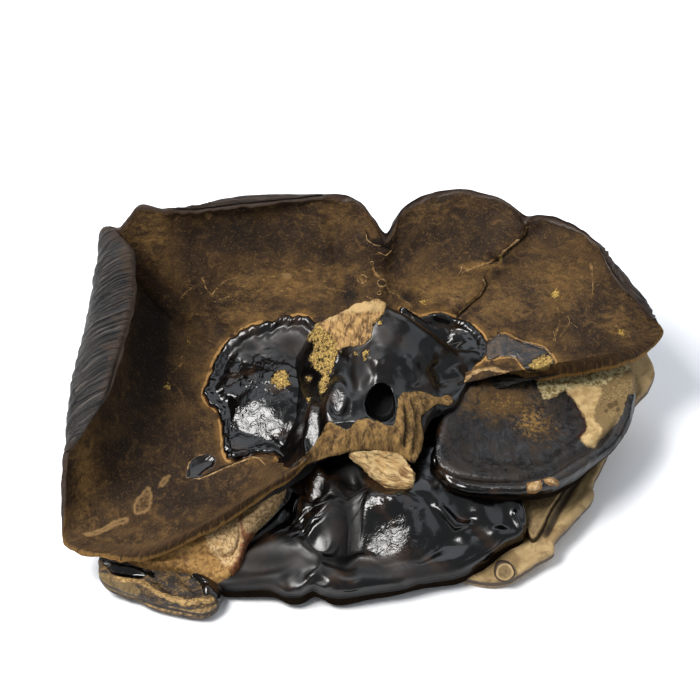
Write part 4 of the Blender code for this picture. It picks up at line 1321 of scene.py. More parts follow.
def cap_grid(steps, samples):
    """The cap's pore face at its finest, with its edge and what each station needs for the rest."""
    x, y, z, foot, bulge, floor, lip, edge = closed_curve(CAP_RIM, steps).T
    rim = np.column_stack([x, y])
    hub = np.array(CAP_HUB[:2])
    reach = np.linalg.norm(rim - hub, axis=1)
    away = outward(rim, CAP_HUB)
    lipped = np.clip(lip / 6.0, 0.0, 1.0)
    wall_out = (1.0 - lipped) * (0.5 * (bulge - foot) + 8.0) - lipped * 7.0
    wall_height = (1.0 - lipped) * (floor + 0.38 * (z - floor)) + lipped * (floor + 1.0)
    slope = np.where(bulge < 3.0, 0.12 * (z - floor), -0.14 * bulge)
    top_height = (1.0 - lipped) * (z - slope) + lipped * (z + lip)
    soft = steps * steps

    def ring(distance, height, times, limit):
        distance = np.minimum(softened(distance, times * soft), limit)
        return at_height(hub + distance[:, None] * away, softened(height, times * soft))

    controls = np.stack(
        [
            at_height(np.broadcast_to(hub, rim.shape), CAP_HUB[2]),
            ring(0.5 * (reach - foot), 0.5 * (CAP_HUB[2] + floor), 16, 0.6 * (reach - foot)),
            ring(reach - foot, floor, 10, reach - 0.7 * foot),
            ring(reach + wall_out, wall_height, 3, reach + wall_out + 3.0),
            at_height(rim + bulge[:, None] * away, top_height),
            at_height(rim, z),
        ],
        axis=1,
    )
    return add_hills(profiles(controls, samples), CAP_HOLLOWS), edge, lipped


def cap_lower_side(steps, samples, rings):
    """The cap's outer side, from its rim back to the hub, and the directions out of it."""
    top, edge, lipped = cap_grid(steps, samples)
    normals = normals_of(top)
    s = np.linspace(0.0, 1.0, samples)
    middle = np.interp(s, [0.0, 0.35, 1.0], [HUB_THICKNESS, BODY_THICKNESS, BODY_THICKNESS])
    toward_edge = lipped[:, None] * s[None, :] ** 2.5 + (1.0 - lipped)[:, None] * ease(s, 0.35, 0.6)[None, :]
    thickness = middle[None, :] * (1.0 - toward_edge) + edge[:, None] * toward_edge
    behind_wall = top - normals * thickness[:, :, None]
    rim = top[:, -1, :2]
    run = np.roll(rim, -1, axis=0) - np.roll(rim, 1, axis=0)
    run = softened(run / np.linalg.norm(run, axis=1, keepdims=True), 12)
    inwards = np.column_stack([run[:, 1], -run[:, 0]])
    at_edge = ease(s, 0.8, 1.0)[None, :]
    edge_drop = (0.9 * edge * (1.0 - lipped) + 0.5)[:, None]
    below_lip = top.copy()
    below_lip[..., 2] -= thickness * (1.0 - at_edge) + edge_drop * at_edge
    below_lip[..., :2] += (0.7 * edge * lipped)[:, None, None] * (s[None, :, None] ** 6) * inwards[:, None, :]
    front = softened(np.where(lipped > 0.05, 1.0, 0.0), 40)[:, None, None]
    kept = np.unique(((samples - 1) * (1.0 - np.linspace(0.0, 1.0, rings) ** 1.4)).round().astype(int))[::-1]
    lower = (behind_wall * (1.0 - front) + below_lip * front)[:, kept]
    outer = (-normals * (1.0 - front) + np.array([0.0, 0.0, -1.0]) * front)[:, kept]
    return lower, outer


def gaps_from(grid, ring):
    """How far each point of the profiles lies from one ring, in millimetres along the profile."""
    steps = np.linalg.norm(np.diff(grid, axis=1), axis=2)
    run = np.concatenate([np.zeros((len(grid), 1)), np.cumsum(steps, axis=1)], axis=1)
    return np.abs(run - run[:, [ring]])


def run_round(ring):
    """How far round a closed ring each station lies, in millimetres."""
    steps = np.linalg.norm(np.roll(ring, -1, axis=0) - ring, axis=1)
    return np.concatenate([[0.0], np.cumsum(steps)[:-1]])


def make_cap():
    """The upturned cap: its pore face, its ragged edge and the crust outside."""
    top, edge, lipped = cap_grid(9, 126)
    normals = normals_of(top)
    places = pixels(top)
    gap = gaps_from(top, -1)
    top = top + normals * (
        0.9 * grain(top, 26.0, 1, 2)
        + 0.35 * grain(top, 7.0, 2, 3)
        - 1.8 * ease(inside_distance(places, DARK_POCKET), -2.0, 5.0)
        + step_relief(places, CAP_STEPS_UP)
        + 0.25 * ease(inside_any(places, SCARS), -1.0, 2.0)
        + 0.4 * ease(inside_any(places, GOLD_ON_CAP), -1.0, 1.5) * (1.0 + 0.6 * grain(top, 1.6, 5))
    )[..., None]
    ragged = (ease(gap, 9.0, 0.0) * (1.2 * grain(top, 7.0, 3, 2) + 0.9 * grain(top, 2.6, 4)))[..., None]
    top = top + ragged * np.array([0.5, 0.5, 0.7])
    wavy = ease(gap, 14.0, 0.0) * ease(top[..., 0], -120.0, -140.0) * ease(top[..., 1], -50.0, -30.0)
    top[..., 0] += wavy * (2.2 * grain(top, 17.0, 11, 2) + 0.8 * grain(top, 4.0, 12))
    samples = top.shape[1]
    lower, outer = cap_lower_side(9, 126, 64)
    under_gap = gaps_from(lower, 0)
    left_side = ease(lower[..., 0], -95.0, -125.0)
    across = lower[..., 1] - 0.45 * lower[..., 0] + 3.0 * grain(lower, 30.0, 6)
    rounds = 1.3 * under_gap + 3.0 * grain(lower, 40.0, 7)
    ridge_run = across * left_side + rounds * (1.0 - left_side)
    rim_run = np.broadcast_to(run_round(top[:, -1])[:, None], under_gap.shape)
    ridge_along = lower[..., 2] * left_side + rim_run * (1.0 - left_side)
    ridge_run = ridge_run + 2.0 * grain(lower, 22.0, 9, 2)
    shingle = (ridge_run / 8.5) % 1.0
    strength = (1.0 + 0.8 * grain(lower, 30.0, 10)) * ease(under_gap, 1.0, 7.0)
    relief = (0.75 + 0.4 * (1.0 - left_side)) * (ease(shingle, 0.0, 0.75) * ease(1.0 - shingle, 0.0, 0.2) - 0.5) * strength
    lower = lower + outer * (relief + 0.5 * grain(lower, 6.0, 8, 2))[..., None]
    outwards = top[:, -1] - top[:, -2]
    outwards /= np.linalg.norm(outwards, axis=1, keepdims=True)
    rounded = []
    for t in np.linspace(0.0, 1.0, 6)[1:-1]:
        middle_edge = (1.0 - t) * top[:, -1] + t * lower[:, 0]
        rounded.append(middle_edge + (0.3 * edge * math.sin(math.pi * t))[:, None] * outwards)
    rounded = np.stack(rounded, axis=1)
    grid = above_ground(np.concatenate([top, rounded, lower], axis=1))
    places = np.concatenate([pixels(grid[:, :samples]), np.full((len(grid), grid.shape[1] - samples, 2), -900.0)], axis=1)
    coats = (LEFT_COAT, BACK_COAT, RIGHT_COAT)
    before = np.zeros((len(grid), grid.shape[1] - ridge_run.shape[1]))
    step_gaps = [np.abs(line_distance(places, line)[0] + 1.6) for line, _, _ in CAP_STEPS_UP[:5]]
    scratch_gaps = [np.abs(line_distance(places, line)[0]) for line in SCRATCHES]
    fields = {
        "scratch": np.maximum(2.0 - np.min(scratch_gaps, axis=0), -9.0),
        "crack": np.maximum(2.2 - np.min(step_gaps, axis=0), -9.0),
        "ridge_along": np.concatenate([before, ridge_along], axis=1),
        "ochre": soft_areas(places, OCHRE_AREAS),
        "dark": soft_areas(places, DARK_AND_SHADE_AREAS),
        "coat_gap": np.maximum(inside_any(places, coats), -30.0),
        "scar": np.maximum(inside_any(places, SCARS), -9.0),
        "gold": np.maximum(inside_any(places, GOLD_ON_CAP), -9.0),
        "rim_gap": gaps_from(grid, samples - 1),
        "lip": np.broadcast_to(lipped[:, None], grid.shape[:2]),
        "ridge_run": np.concatenate([before, ridge_run], axis=1),
        "along": np.broadcast_to(run_round(grid[:, samples - 1])[:, None], grid.shape[:2]),
    }
    looks = [cap_top_look(), cap_crust_look()]
    cap = skin_piece("cap", [grid], fields, looks, lambda k: 0 if k < samples else 1)
    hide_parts(NODE)
    return tree_of(grid[:, :samples])


def patch_grid(tree, outline, hub, thickness, roll, rings, steps, wobble, seed):
    """A thin layer laid on a surface: closed profiles, and how far each point is from its edge."""
    rim = closed_curve(outline, steps)
    spot = np.column_stack([rim, np.zeros(len(rim))])
    rim = rim + wobble * np.stack([grain(spot, 7.0, seed, 2), grain(spot, 7.0, seed + 1, 2)], axis=-1)
    fractions = 1.0 - (1.0 - np.linspace(0.0, 1.0, rings)) ** 1.5
    places = np.array(hub, float) + fractions[None, :, None] * (rim[:, None] - np.array(hub, float))
    points, normals = laid(tree, places)
    for _ in range(3):
        normals = 0.5 * normals + 0.25 * (np.roll(normals, 1, axis=0) + np.roll(normals, -1, axis=0))
    normals /= np.linalg.norm(normals, axis=2, keepdims=True)
    gap = (1.0 - fractions)[None, :] * np.linalg.norm(rim - np.array(hub, float), axis=1)[:, None] * PIXEL_SIZE
    gap = gap + np.zeros(points.shape[:2])
    rise = thickness * np.sqrt(np.clip(1.0 - (1.0 - np.clip(gap / roll, 0.0, 1.0)) ** 2, 0.0, 1.0))
    return points, normals, rise, gap, places


def make_coats(tree):
    """The black layer that has grown over the cap on both sides of the stem, and smaller patches."""
    grids = []
    fields = {"edge_gap": [], "gold": [], "dull": [], "crinkle": [], "matt": []}
    plans = (
        (LEFT_COAT, (262, 388), 2.2, 3.0, 64, 14, 1.6, 13.0, 0.0, 31),
        (BACK_COAT, (446, 340), 1.6, 2.5, 44, 20, 1.0, 1.5, 0.0, 33),
        (RIGHT_COAT, (515, 350), 0.6, 1.6, 36, 16, 0.8, 0.6, 0.7, 35),
        (DARK_POCKET, (200, 466), 0.3, 1.6, 26, 14, 0.5, 0.0, 0.1, 37),
    )
    for outline, hub, thickness, roll, rings, steps, wobble, dome, dull, seed in plans:
        points, normals, rise, gap, places = patch_grid(tree, outline, hub, thickness, roll, rings, steps, wobble, seed)
        run = run_round(places[:, -1]) * PIXEL_SIZE
        beads = ease(gap, 7.0, 3.0) * ease(gap, 0.0, 1.5)
        bead_row = 0.16 * np.sin(run * 1.7 + 4.0 * grain(points[:, -1], 12.0, seed + 5))[:, None]
        bead_row = bead_row * ease(grain(points[:, -1], 22.0, seed + 7), -0.1, 0.5)[:, None] * (thickness / 2.2) ** 3
        rise = rise + thickness * beads * (0.3 + bead_row + 0.3 * grain(points, 5.0, seed + 2, 2))
        if dome > 1.0:
            rise = rise - 0.5 * thickness * np.exp(-(((gap - 8.0) / 2.5) ** 2))
        swelling = soft_areas(places, ((hub[0] + 12, hub[1] + 4, 46, 34, 1.0), (hub[0] + 56, hub[1], 24, 44, 0.9)))
        rise = rise + dome * swelling * ease(gap, 2.0, 12.0)
        rise = rise + ease(gap, 1.0, 6.0) * (0.6 * grain(points, 24.0, seed + 3) + 0.12 * grain(points, 8.0, seed + 6, 2))
        upper = turned(points + normals * rise[..., None], ease(gap, 3.0, 9.0), GLINTS_ON_COAT)
        upper[..., 2] = np.maximum(upper[..., 2], (points + normals * np.minimum(rise, 1.5)[..., None])[..., 2])
        places = pixels(upper)
        gold = inside_any(places, GOLD_ON_COAT)
        raised = 0.6 * ease(gold, -0.8, 1.6) * (1.0 + 0.6 * grain(points, 1.8, seed + 4))
        upper = upper + normals * raised[..., None]
        lower = (points - normals * 1.6)[:, ::-1]
        grids.append(np.concatenate([upper, lower[:, 1:]], axis=1))
        crinkle = soft_areas(places, ((255, 423, 26, 30, 1.0),))
        matt = soft_areas(places, MATT_ON_COAT)
        marks = {"edge_gap": gap, "gold": gold, "dull": dull + 0.0 * gap, "crinkle": crinkle, "matt": matt}
        for name, values in marks.items():
            values = np.minimum(values, 3.5) if name == "gold" else values
            fields[name].append(np.concatenate([values, values[:, ::-1][:, 1:]], axis=1))
    skin_piece("black_layer", grids, fields, [coat_look()])


def ribbon_grid(tree, line, width, height, seed):
    """A low raised strip along a line of pixels, as closed profiles that run along it."""
    line = np.array(line, float)
    steps = np.linalg.norm(np.diff(line, axis=0), axis=1)
    run = np.concatenate([[0.0], np.cumsum(steps)])
    at = np.linspace(0.0, run[-1], max(int(run[-1] / 0.8), 6))
    middle = np.column_stack([np.interp(at, run, line[:, 0]), np.interp(at, run, line[:, 1])])
    for _ in range(4):
        middle[1:-1] = 0.5 * middle[1:-1] + 0.25 * (middle[2:] + middle[:-2])
    along = np.gradient(middle, axis=0)
    along /= np.linalg.norm(along, axis=1, keepdims=True)
    across = np.column_stack([along[:, 1], -along[:, 0]])
    share = at / run[-1]
    spot = np.column_stack([middle, np.zeros(len(middle))])
    half = 0.5 * width * np.clip(1.0 + 1.0 * grain(spot, 4.0, seed, 2), 0.1, 2.0) * np.sqrt(np.clip(np.minimum(share, 1.0 - share) * 8.0, 0.02, 1.0))
    rows = []
    for offset, lift in ((-1.0, -0.5), (-0.8, 0.1), (-0.3, 0.9), (0.3, 1.0), (0.8, 0.15), (1.0, -0.5)):
        points, normals = laid(tree, middle + (offset * half)[:, None] * across)
        rough = 0.8 + 0.4 * grain(points, 1.5, seed + 1) + 1.2 * grain(points, 5.0, seed + 2)
        rows.append(points + normals * (height * lift * rough)[:, None])
    return np.stack(rows, axis=0)


def make_ridges(tree):
    """Pale lines and rings that stand a little above the pore face."""
    grids = [ribbon_grid(tree, line, width, 0.35, 51 + k) for k, (line, width) in enumerate(PALE_RIDGES)]
    for k, (u, v, radius, width) in enumerate(PALE_RINGS):
        turns = np.linspace(0.0, 2.0 * math.pi, 18)
        line = np.column_stack([u + radius * np.cos(turns), v + 0.85 * radius * np.sin(turns)])
        grids.append(ribbon_grid(tree, line, width, 0.4, 71 + k))
    skin_piece("pale_ridges", grids, {}, [ridge_look()])


def thin_plate(points, values):
    """A smooth height field through scattered points, as a function of plan positions."""
    unit = 50.0
    points = np.array(points, float) / unit

    def kernel(a, b):
        r2 = ((a[:, None, :] - b[None, :, :]) ** 2).sum(axis=2)
        return 0.5 * r2 * np.log(r2 + 1e-12)

    def with_plane(a):
        return np.column_stack([np.ones(len(a)), a])

    n = len(points)
    system = np.zeros((n + 3, n + 3))
    system[:n, :n] = kernel(points, points) + 0.002 * np.eye(n)
    system[:n, n:] = with_plane(points)
    system[n:, :n] = with_plane(points).T
    weights = np.linalg.solve(system, np.concatenate([values, np.zeros(3)]))
    return lambda plan: (
        kernel(np.asarray(plan) / unit, points) @ weights[:n] + with_plane(np.asarray(plan) / unit) @ weights[n:]
    )


def stem_grid(steps, samples, torn_samples):
    """The stem stub: its upper face, the torn face at its front, and a foot sunk into the cap."""
    rows = closed_curve(STEM_EDGE, steps)
    edge, edge_height, foot, foot_height = rows[:, :2], rows[:, 2], rows[:, 3:5], rows[:, 5]
    known = np.vstack([np.array(STEM_EDGE, float)[:, :3], np.array(STEM_HEIGHTS, float)])
    height = thin_plate(known[:, :2], known[:, 2])
    hub = np.array(STEM_HUB)
    rings = []
    for r in np.linspace(0.0, 1.0, samples):
        plan = hub + r * (edge - hub)
        rings.append(at_height(plan, height(plan) * (1.0 - r**8) + edge_height * r**8))
    for t in np.linspace(0.0, 1.0, torn_samples)[1:]:
        plan = (1.0 - t) * edge + t * foot + 0.8 * math.sin(math.pi * t) * outward(edge, hub)
        rings.append(at_height(plan, (1.0 - t) * edge_height + t * foot_height))
    rings.append(at_height(hub + 0.85 * (foot - hub), foot_height - 3.0))
    rings.append(at_height(np.broadcast_to(hub, edge.shape), 36.0))
    return np.stack(rings, axis=1)


def make_stem():
    """The knobbly stem stub with its hole, its torn patches and the yellow crust."""
    samples, torn_samples = 100, 16
    grid = stem_grid(19, samples, torn_samples)
    normals = normals_of(grid)
    places = pixels(grid)
    band = inside_distance(places, TORN_BAND)
    torn_top = inside_distance(places, TORN_TOP)
    gold = inside_any(places, GOLD_ON_STEM)
    face = np.arange(grid.shape[1])[None, :] + np.zeros(grid.shape[:2])
    torn = np.maximum(np.where(face > samples, band, -9.0), np.where(face > samples - 12, band, -9.0))
    strand = grid * np.array([1.0, 1.0, 0.08])
    rough = (
        0.9 * grain(grid, 18.0, 81, 2)
        + 0.14 * grain(grid, 5.0, 82, 2)
        + line_relief(places, STEM_LINES) * (face < samples)
        + ease(torn_top, -1.0, 2.0) * (0.6 + 1.6 * np.abs(grain(grid * np.array([0.5, 0.7, 1.0]), 3.6, 83, 2)))
        + 0.6 * ease(gold, -1.0, 2.0) * (1.0 + 0.8 * grain(grid, 1.8, 84, 2))
        + ease(torn, -1.0, 1.0) * (0.6 * grain(strand, 2.8, 85, 2) + 1.8 * line_relief(places, FOLDS_ON_BAND))
    )
    grid = grid + normals * (rough * ease(face, 0.0, 4.0) * ease(face, grid.shape[1] - 1.0, grid.shape[1] - 5.0))[..., None]
    grid = turned(grid, ease(face, 4.0, 10.0) * (face < samples), GLINTS_ON_STEM)
    axis = np.array([0.0, math.sin(HOLE_TILT), -math.cos(HOLE_TILT)])
    across = np.array([0.0, math.cos(HOLE_TILT), math.sin(HOLE_TILT)])
    offset = grid - HOLE_MOUTH
    turn = np.arctan2(offset @ across, offset[..., 0])
    r = np.hypot(offset[..., 0] / HOLE_RADIUS, offset @ across / (HOLE_RADIUS * HOLE_STRETCH))
    r = r * (1.0 + 0.05 * np.sin(3.0 * turn + 0.6))
    near = ease(np.abs(offset @ axis), 26.0, 14.0)
    left_side = 0.5 - 0.5 * np.cos(turn - math.radians(-20.0))
    funnel = (1.0 + 2.6 * left_side) * ease(r, 2.1, 1.0)
    grid = grid + axis * (near * (HOLE_DEPTH * ease(r, 1.06, 0.9) + funnel))[..., None]
    fields = {
        "torn_top": np.clip(torn_top, -9.0, 9.0),
        "torn_band": np.clip(torn, -9.0, 9.0),
        "gold": np.clip(gold, -9.0, 2.8),
        "bright": soft_areas(places, ((352, 308, 36, 6, 1.0), (330, 318, 14, 6, 0.7))),
        # How deep the band's fold grooves cut, for the painted shade in them.
        "fold_shade": -line_relief(places, FOLDS_ON_BAND),
        # How far into the hole a point lies, for the painted shade inside it.
        "pit_shade": near * ease(r, 1.02, 0.8),
        "crinkle": soft_areas(places, ((337, 398, 12, 18, 0.8), (314, 430, 12, 22, 0.8))),
        "matt": soft_areas(places, MATT_ON_STEM),
    }
    skin_piece("stem", [grid], fields, [stem_look()])


def lobe_grid(rows, hub, steps, samples, bottom, hills=(), overhang=0.05):
    """A lobe with a rolled margin: profiles from its middle over the margin to its underside."""
    x, y, z, roll = closed_curve(rows, steps).T
    edge = np.column_stack([x, y])
    away = outward(edge, hub)
    hub_plan = np.broadcast_to(np.array(hub[:2]), edge.shape)
    middle = hub_plan + 0.55 * (edge - hub_plan)
    middle_top = 0.6 * hub[2] + 0.4 * (z + roll)
    under = np.maximum(z - 1.1 * roll, bottom)
    middle_under = np.maximum(np.minimum(under, middle_top - 2.5 * roll), bottom)
    controls = np.stack(
        [
            at_height(hub_plan, hub[2]),
            at_height(middle, middle_top),
            at_height(edge - (2.6 * roll)[:, None] * away, z + 0.8 * roll),
            at_height(edge - (0.9 * roll)[:, None] * away, z + 1.3 * roll),
            at_height(edge + (overhang * roll)[:, None] * away, z + 0.9 * roll),
            at_height(edge + (overhang * roll)[:, None] * away, z - 0.9 * roll),
            at_height(edge - (1.2 * roll)[:, None] * away, under),
            at_height(middle, middle_under),
            at_height(hub_plan, bottom),
        ],
        axis=1,
    )
    grid = profiles(controls, samples)
    top = samples // 2
    grid[:, :top] = add_hills(grid[:, :top], hills)
    return grid


def rim_ring(samples):
    """The ring of a lobe's profiles that lies at the middle of its margin."""
    return int(round(0.56 * samples))


def ends_kept(grid):
    """1 over the skin and 0 at the two points where its profiles meet."""
    face = np.arange(grid.shape[1])[None, :] + np.zeros(grid.shape[:2])
    return ease(face, 0.0, 4.0) * ease(face, grid.shape[1] - 1.0, grid.shape[1] - 5.0)


def upper_side(grid):
    """1 on the upper half of a lobe's profiles, falling to 0 below its margin."""
    face = np.arange(grid.shape[1])[None, :] / grid.shape[1] + np.zeros(grid.shape[:2])
    return ease(face, 0.66, 0.58)


def make_front_lobe():
    """The glossy lobe at the front, with its hills, grooves and rolled margin."""
    grid = lobe_grid(FRONT_LOBE, FRONT_HUB, 22, 128, -1.5, FRONT_HILLS)
    normals = normals_of(grid)
    places = pixels(grid)
    crinkle = soft_areas(places, ((388, 539, 34, 30, 1.0), (318, 490, 10, 20, 0.7), (376, 502, 14, 10, 0.8)))
    relief = (
        line_relief(places, FRONT_LINES) * upper_side(grid)
        + 0.8 * grain(grid, 22.0, 91, 2)
        + 0.12 * grain(grid, 6.0, 92, 2)
        + 0.16 * crinkle * grain(grid, 3.2, 93, 2)
    )
    grid = grid + normals * (relief * ends_kept(grid))[..., None]
    grid = above_ground(turned(grid, upper_side(grid), GLINTS_ON_FRONT))
    # Painted shade: the lower rings get copies of the lacquer with less and less shine and the underside none, so the
    # margin darkens towards the floor.
    shines = (("lobe_lacquer", 0.5), ("lobe_lacquer_half_shaded", 0.3), ("lobe_lacquer_shaded", 0.12))
    looks = [front_look(name, shine) for name, shine in shines] + [shaded_underside_look()]
    fields = {"crinkle": 0.05 + crinkle, "matt": soft_areas(places, MATT_ON_FRONT)}
    skin_piece("front_lobe", [grid], fields, looks, lambda k: sum(k >= edge for edge in (66, 69, 72)))


def make_right_lobe():
    """The lobe at the right, dusty on top, pale at its right end, with a glossy rolled margin."""
    grid = lobe_grid(RIGHT_LOBE, RIGHT_HUB, 24, 110, 8.0)
    normals = normals_of(grid)
    places = pixels(grid)
    cream = inside_distance(places, CREAM_ON_RIGHT)
    worn = inside_any(places, WORN_SPOTS)
    relief = (
        line_relief(places, RIGHT_LINES) * upper_side(grid)
        + 0.5 * grain(grid, 14.0, 101, 2)
        + 0.25 * grain(grid, 4.0, 102, 2)
        - 0.5 * ease(worn, -1.0, 1.0)
    )
    grid = above_ground(grid + normals * (relief * ends_kept(grid))[..., None])
    top = upper_side(grid)
    dust = soft_areas(places, ((500, 400, 60, 30, 1.0), (540, 430, 40, 30, 0.7), (450, 390, 30, 25, 0.7)))
    fields = {
        "cream": np.where(top > 0.5, np.clip(cream, -9.0, 9.0), -9.0),
        "worn": np.where(top > 0.2, np.clip(worn, -9.0, 9.0), -9.0),
        "strip": np.where(top > 0.5, np.clip(inside_distance(places, PALE_STRIP), -9.0, 9.0), -9.0),
        "speckled": np.where(top > 0.5, np.clip(inside_distance(places, SPECKLED), -9.0, 9.0), -9.0),
        "dish": top * ease(places[..., 0], 436.0, 470.0),
        "crinkle": soft_areas(places, ((448, 450, 22, 30, 1.0), (430, 440, 10, 30, 0.8))),
        "spots": inside_any(places, SPOTS_ON_TAN),
        "red_line": np.where(top > 0.5, 3.0 - np.abs(line_distance(places, RED_LINE)[0]), -9.0),
        "dust": dust * top,
        "gold_dust": top * soft_areas(places, ((505, 402, 56, 24, 0.7), (532, 422, 30, 26, 0.85), (452, 396, 20, 12, 0.55), (556, 428, 14, 12, 0.6))),
        "rim_gap": gaps_from(grid, rim_ring(110)) + 20.0 * ease(places[..., 1], 396.0, 388.0) * (places[..., 0] > 560.0),
    }
    # Painted shade: below the margin's middle the lobe gets copies with less and less shine, and the underside none.
    shines = (("right_lobe_dish", 0.3), ("right_lobe_margin", 0.5), ("right_lobe_half_shaded", 0.25), ("right_lobe_shaded", 0.1))
    looks = [right_look(name, shine) for name, shine in shines] + [shaded_underside_look()]
    skin_piece("right_lobe", [grid], fields, looks, lambda k: sum(k >= edge for edge in (36, 56, 59, 62)))


def nub_grid(tree):
    """The round end of a twig that the sheet has grown round: a short cylinder that faces the front."""
    place, _ = laid(tree, [NUB_PLACE])
    axis = np.array([0.02, -0.72, 0.69])
    across = np.array([1.0, 0.0, 0.0])
    upward = np.cross(across, axis)
    turns = np.linspace(0.0, 2.0 * math.pi, 97)[:-1]
    wobble = 1.0 + 0.02 * np.sin(3.0 * turns + 1.0) + 0.015 * np.sin(5.0 * turns)
    ring = (np.cos(turns) * wobble)[:, None] * across + (np.sin(turns) * wobble)[:, None] * upward
    shares = np.linspace(0.0, 1.0, 20)
    rows = [place[0] + axis * (5.2 + 0.5 * t * t) + NUB_RADIUS * 0.92 * t * ring for t in shares]
    gaps = [NUB_RADIUS * (1.0 - t) for t in shares]
    for turn in np.linspace(0.0, 0.5 * math.pi, 7)[1:]:
        reach = NUB_RADIUS * (0.92 + 0.08 * math.sin(turn))
        rows.append(place[0] + axis * (5.0 + 0.7 * math.cos(turn)) + reach * ring)
        gaps.append(0.0)
    for depth in (-2.0, -6.0):
        rows.append(place[0] + axis * depth + NUB_RADIUS * ring)
        gaps.append(0.0)
    rows.append(place[0] + axis * -6.0 + 0.0 * ring)
    gaps.append(0.0)
    grid = np.stack(rows, axis=1)
    return above_ground(grid), np.array(gaps)[None, :] + np.zeros(grid.shape[:2])


def make_base_sheet():
    """The light thin sheet at the bottom right, its raised flap and its round nub."""
    grid = lobe_grid(BASE_SHEET, BASE_HUB, 14, 84, -1.5)
    smooth_tree = tree_of(grid)
    normals = normals_of(grid)
    relief = 0.5 * grain(grid, 12.0, 111, 2) + 0.2 * grain(grid, 4.0, 112, 2)
    gap = gaps_from(grid, rim_ring(84))
    creases = (
        (((598, 446), (580, 474), (566, 496), (556, 514), (547, 532), (540, 544)), -2.8, 4.2),
        (((514, 470), (519, 505), (524, 525), (528, 545)), -2.6, 4.0),
        (((602, 480), (580, 505), (560, 535), (522, 570)), 1.5, 6.0),
    )
    places = pixels(grid)
    # How deep the first two creases cut in, for the painted shadow along them.
    crease_shade = -line_relief(places, creases[:2]) * upper_side(grid)
    relief = relief + line_relief(places, creases) * upper_side(grid)
    relief = relief + 0.35 * np.sin(gap * math.pi / 6.0 + grain(grid, 20.0, 113)) * ease(gap, 26.0, 8.0)
    grid = above_ground(grid + normals * (relief * ends_kept(grid))[..., None])
    skin_piece("base_sheet", [grid], {"rim_gap": gap, "crease_shade": crease_shade}, [sheet_look()])
    flap = (
        (520, 494), (540, 486), (568, 482), (562, 496), (554, 508), (548, 520), (542, 533), (537, 541),
        (532, 543), (528, 537), (524, 522),
    )
    points, normals, rise, gap, places = patch_grid(smooth_tree, flap, (541, 514), 5.5, 1.5, 40, 20, 0.2, 121)
    upper = points + normals * (rise + 0.3 * grain(points, 5.0, 123, 2))[..., None]
    lower = (points - normals * 2.5)[:, ::-1]
    grids = [np.concatenate([upper, lower[:, 1:]], axis=1)]
    gaps = [np.concatenate([gap, 0.0 * gap[:, 1:]], axis=1)]
    nub, nub_gap = nub_grid(smooth_tree)
    skin_piece("flap_and_nub", [*grids, nub], {"rim_gap": [*gaps, nub_gap]}, [flap_look()])


def make_small_lobe():
    """The small lobe at the left front: tan on top, with glossy black strips and a dark edge."""
    grid = lobe_grid(SMALL_LOBE, SMALL_HUB, 24, 80, -1.5)
    normals = normals_of(grid)
    places = pixels(grid)
    black = inside_any(
        places,
        (
            ((102, 560), (112, 561), (125, 564), (142, 568), (146, 574), (140, 579), (128, 578), (112, 573)),
            (
                (182, 560), (196, 562), (208, 574), (220, 588), (228, 602), (218, 602), (212, 594), (205, 596),
                (200, 586), (192, 580), (186, 572),
            ),
            ((146, 572), (152, 570), (156, 576), (150, 578)),
        ),
    )
    patch = inside_distance(places, ((98, 572), (112, 576), (132, 582), (140, 592), (128, 602), (108, 596), (98, 584)))
    pale_lines = (((116, 578), (142, 583), (160, 594), (186, 603), (212, 600)), ((112, 598), (150, 607), (190, 613), (214, 608)))
    pale = 2.6 - np.min([np.abs(line_distance(places, line)[0]) for line in pale_lines], axis=0)
    lines = (
        (((106, 570), (125, 573), (142, 576)), -1.8, 3.5),
        (((104, 577), (122, 581), (142, 585), (162, 597), (186, 604), (210, 602)), 1.8, 3.0),
        (((150, 572), (166, 566), (182, 568)), 1.6, 5.0),
        (((150, 582), (165, 588), (178, 594)), -1.6, 4.0),
        (((112, 591), (140, 600), (170, 609), (200, 612)), -1.0, 2.5),
        (((184, 564), (198, 577), (214, 592)), 4.6, 5.5),
        (((176, 572), (190, 586), (204, 597)), -1.8, 3.0),
    )
    relief = line_relief(places, lines) * upper_side(grid) + 0.5 * grain(grid, 7.0, 131, 3)
    grid = above_ground(grid + normals * (relief * ends_kept(grid))[..., None])
    top = upper_side(grid)
    fields = {
        "black": np.where(top > 0.5, np.clip(black, -9.0, 9.0), -9.0),
        "patch": np.where(top > 0.5, np.clip(patch, -9.0, 9.0), -9.0),
        "pale": np.where(top > 0.5, np.clip(pale, -9.0, 9.0), -9.0),
        "rim_gap": gaps_from(grid, rim_ring(80)),
    }
    skin_piece("small_lobe", [grid], fields, [small_look()])


def make_tissue():
    """The pale torn tissue between the left lip and the front lobe."""
    grid = lobe_grid(TISSUE, TISSUE_HUB, 24, 80, 2.0)
    normals = normals_of(grid)
    places = pixels(grid)
    cream = inside_any(places, CREAM_ON_TISSUE)
    red_edge = inside_distance(places, ((238, 515), (256, 520), (262, 536), (250, 550), (246, 570), (234, 580), (232, 566), (240, 545)))
    relief = (
        0.7 * grain(grid, 9.0, 141, 3)
        + 0.8 * ease(cream, -4.0, 5.0) * (1.0 + 0.5 * grain(grid, 2.4, 142, 2))
    )
    grid = above_ground(grid + normals * (relief * ends_kept(grid))[..., None])
    fields = {"cream": np.clip(cream, -9.0, 9.0), "red_edge": np.clip(red_edge, -9.0, 9.0)}
    skin_piece("tissue", [grid], fields, [tissue_look()])


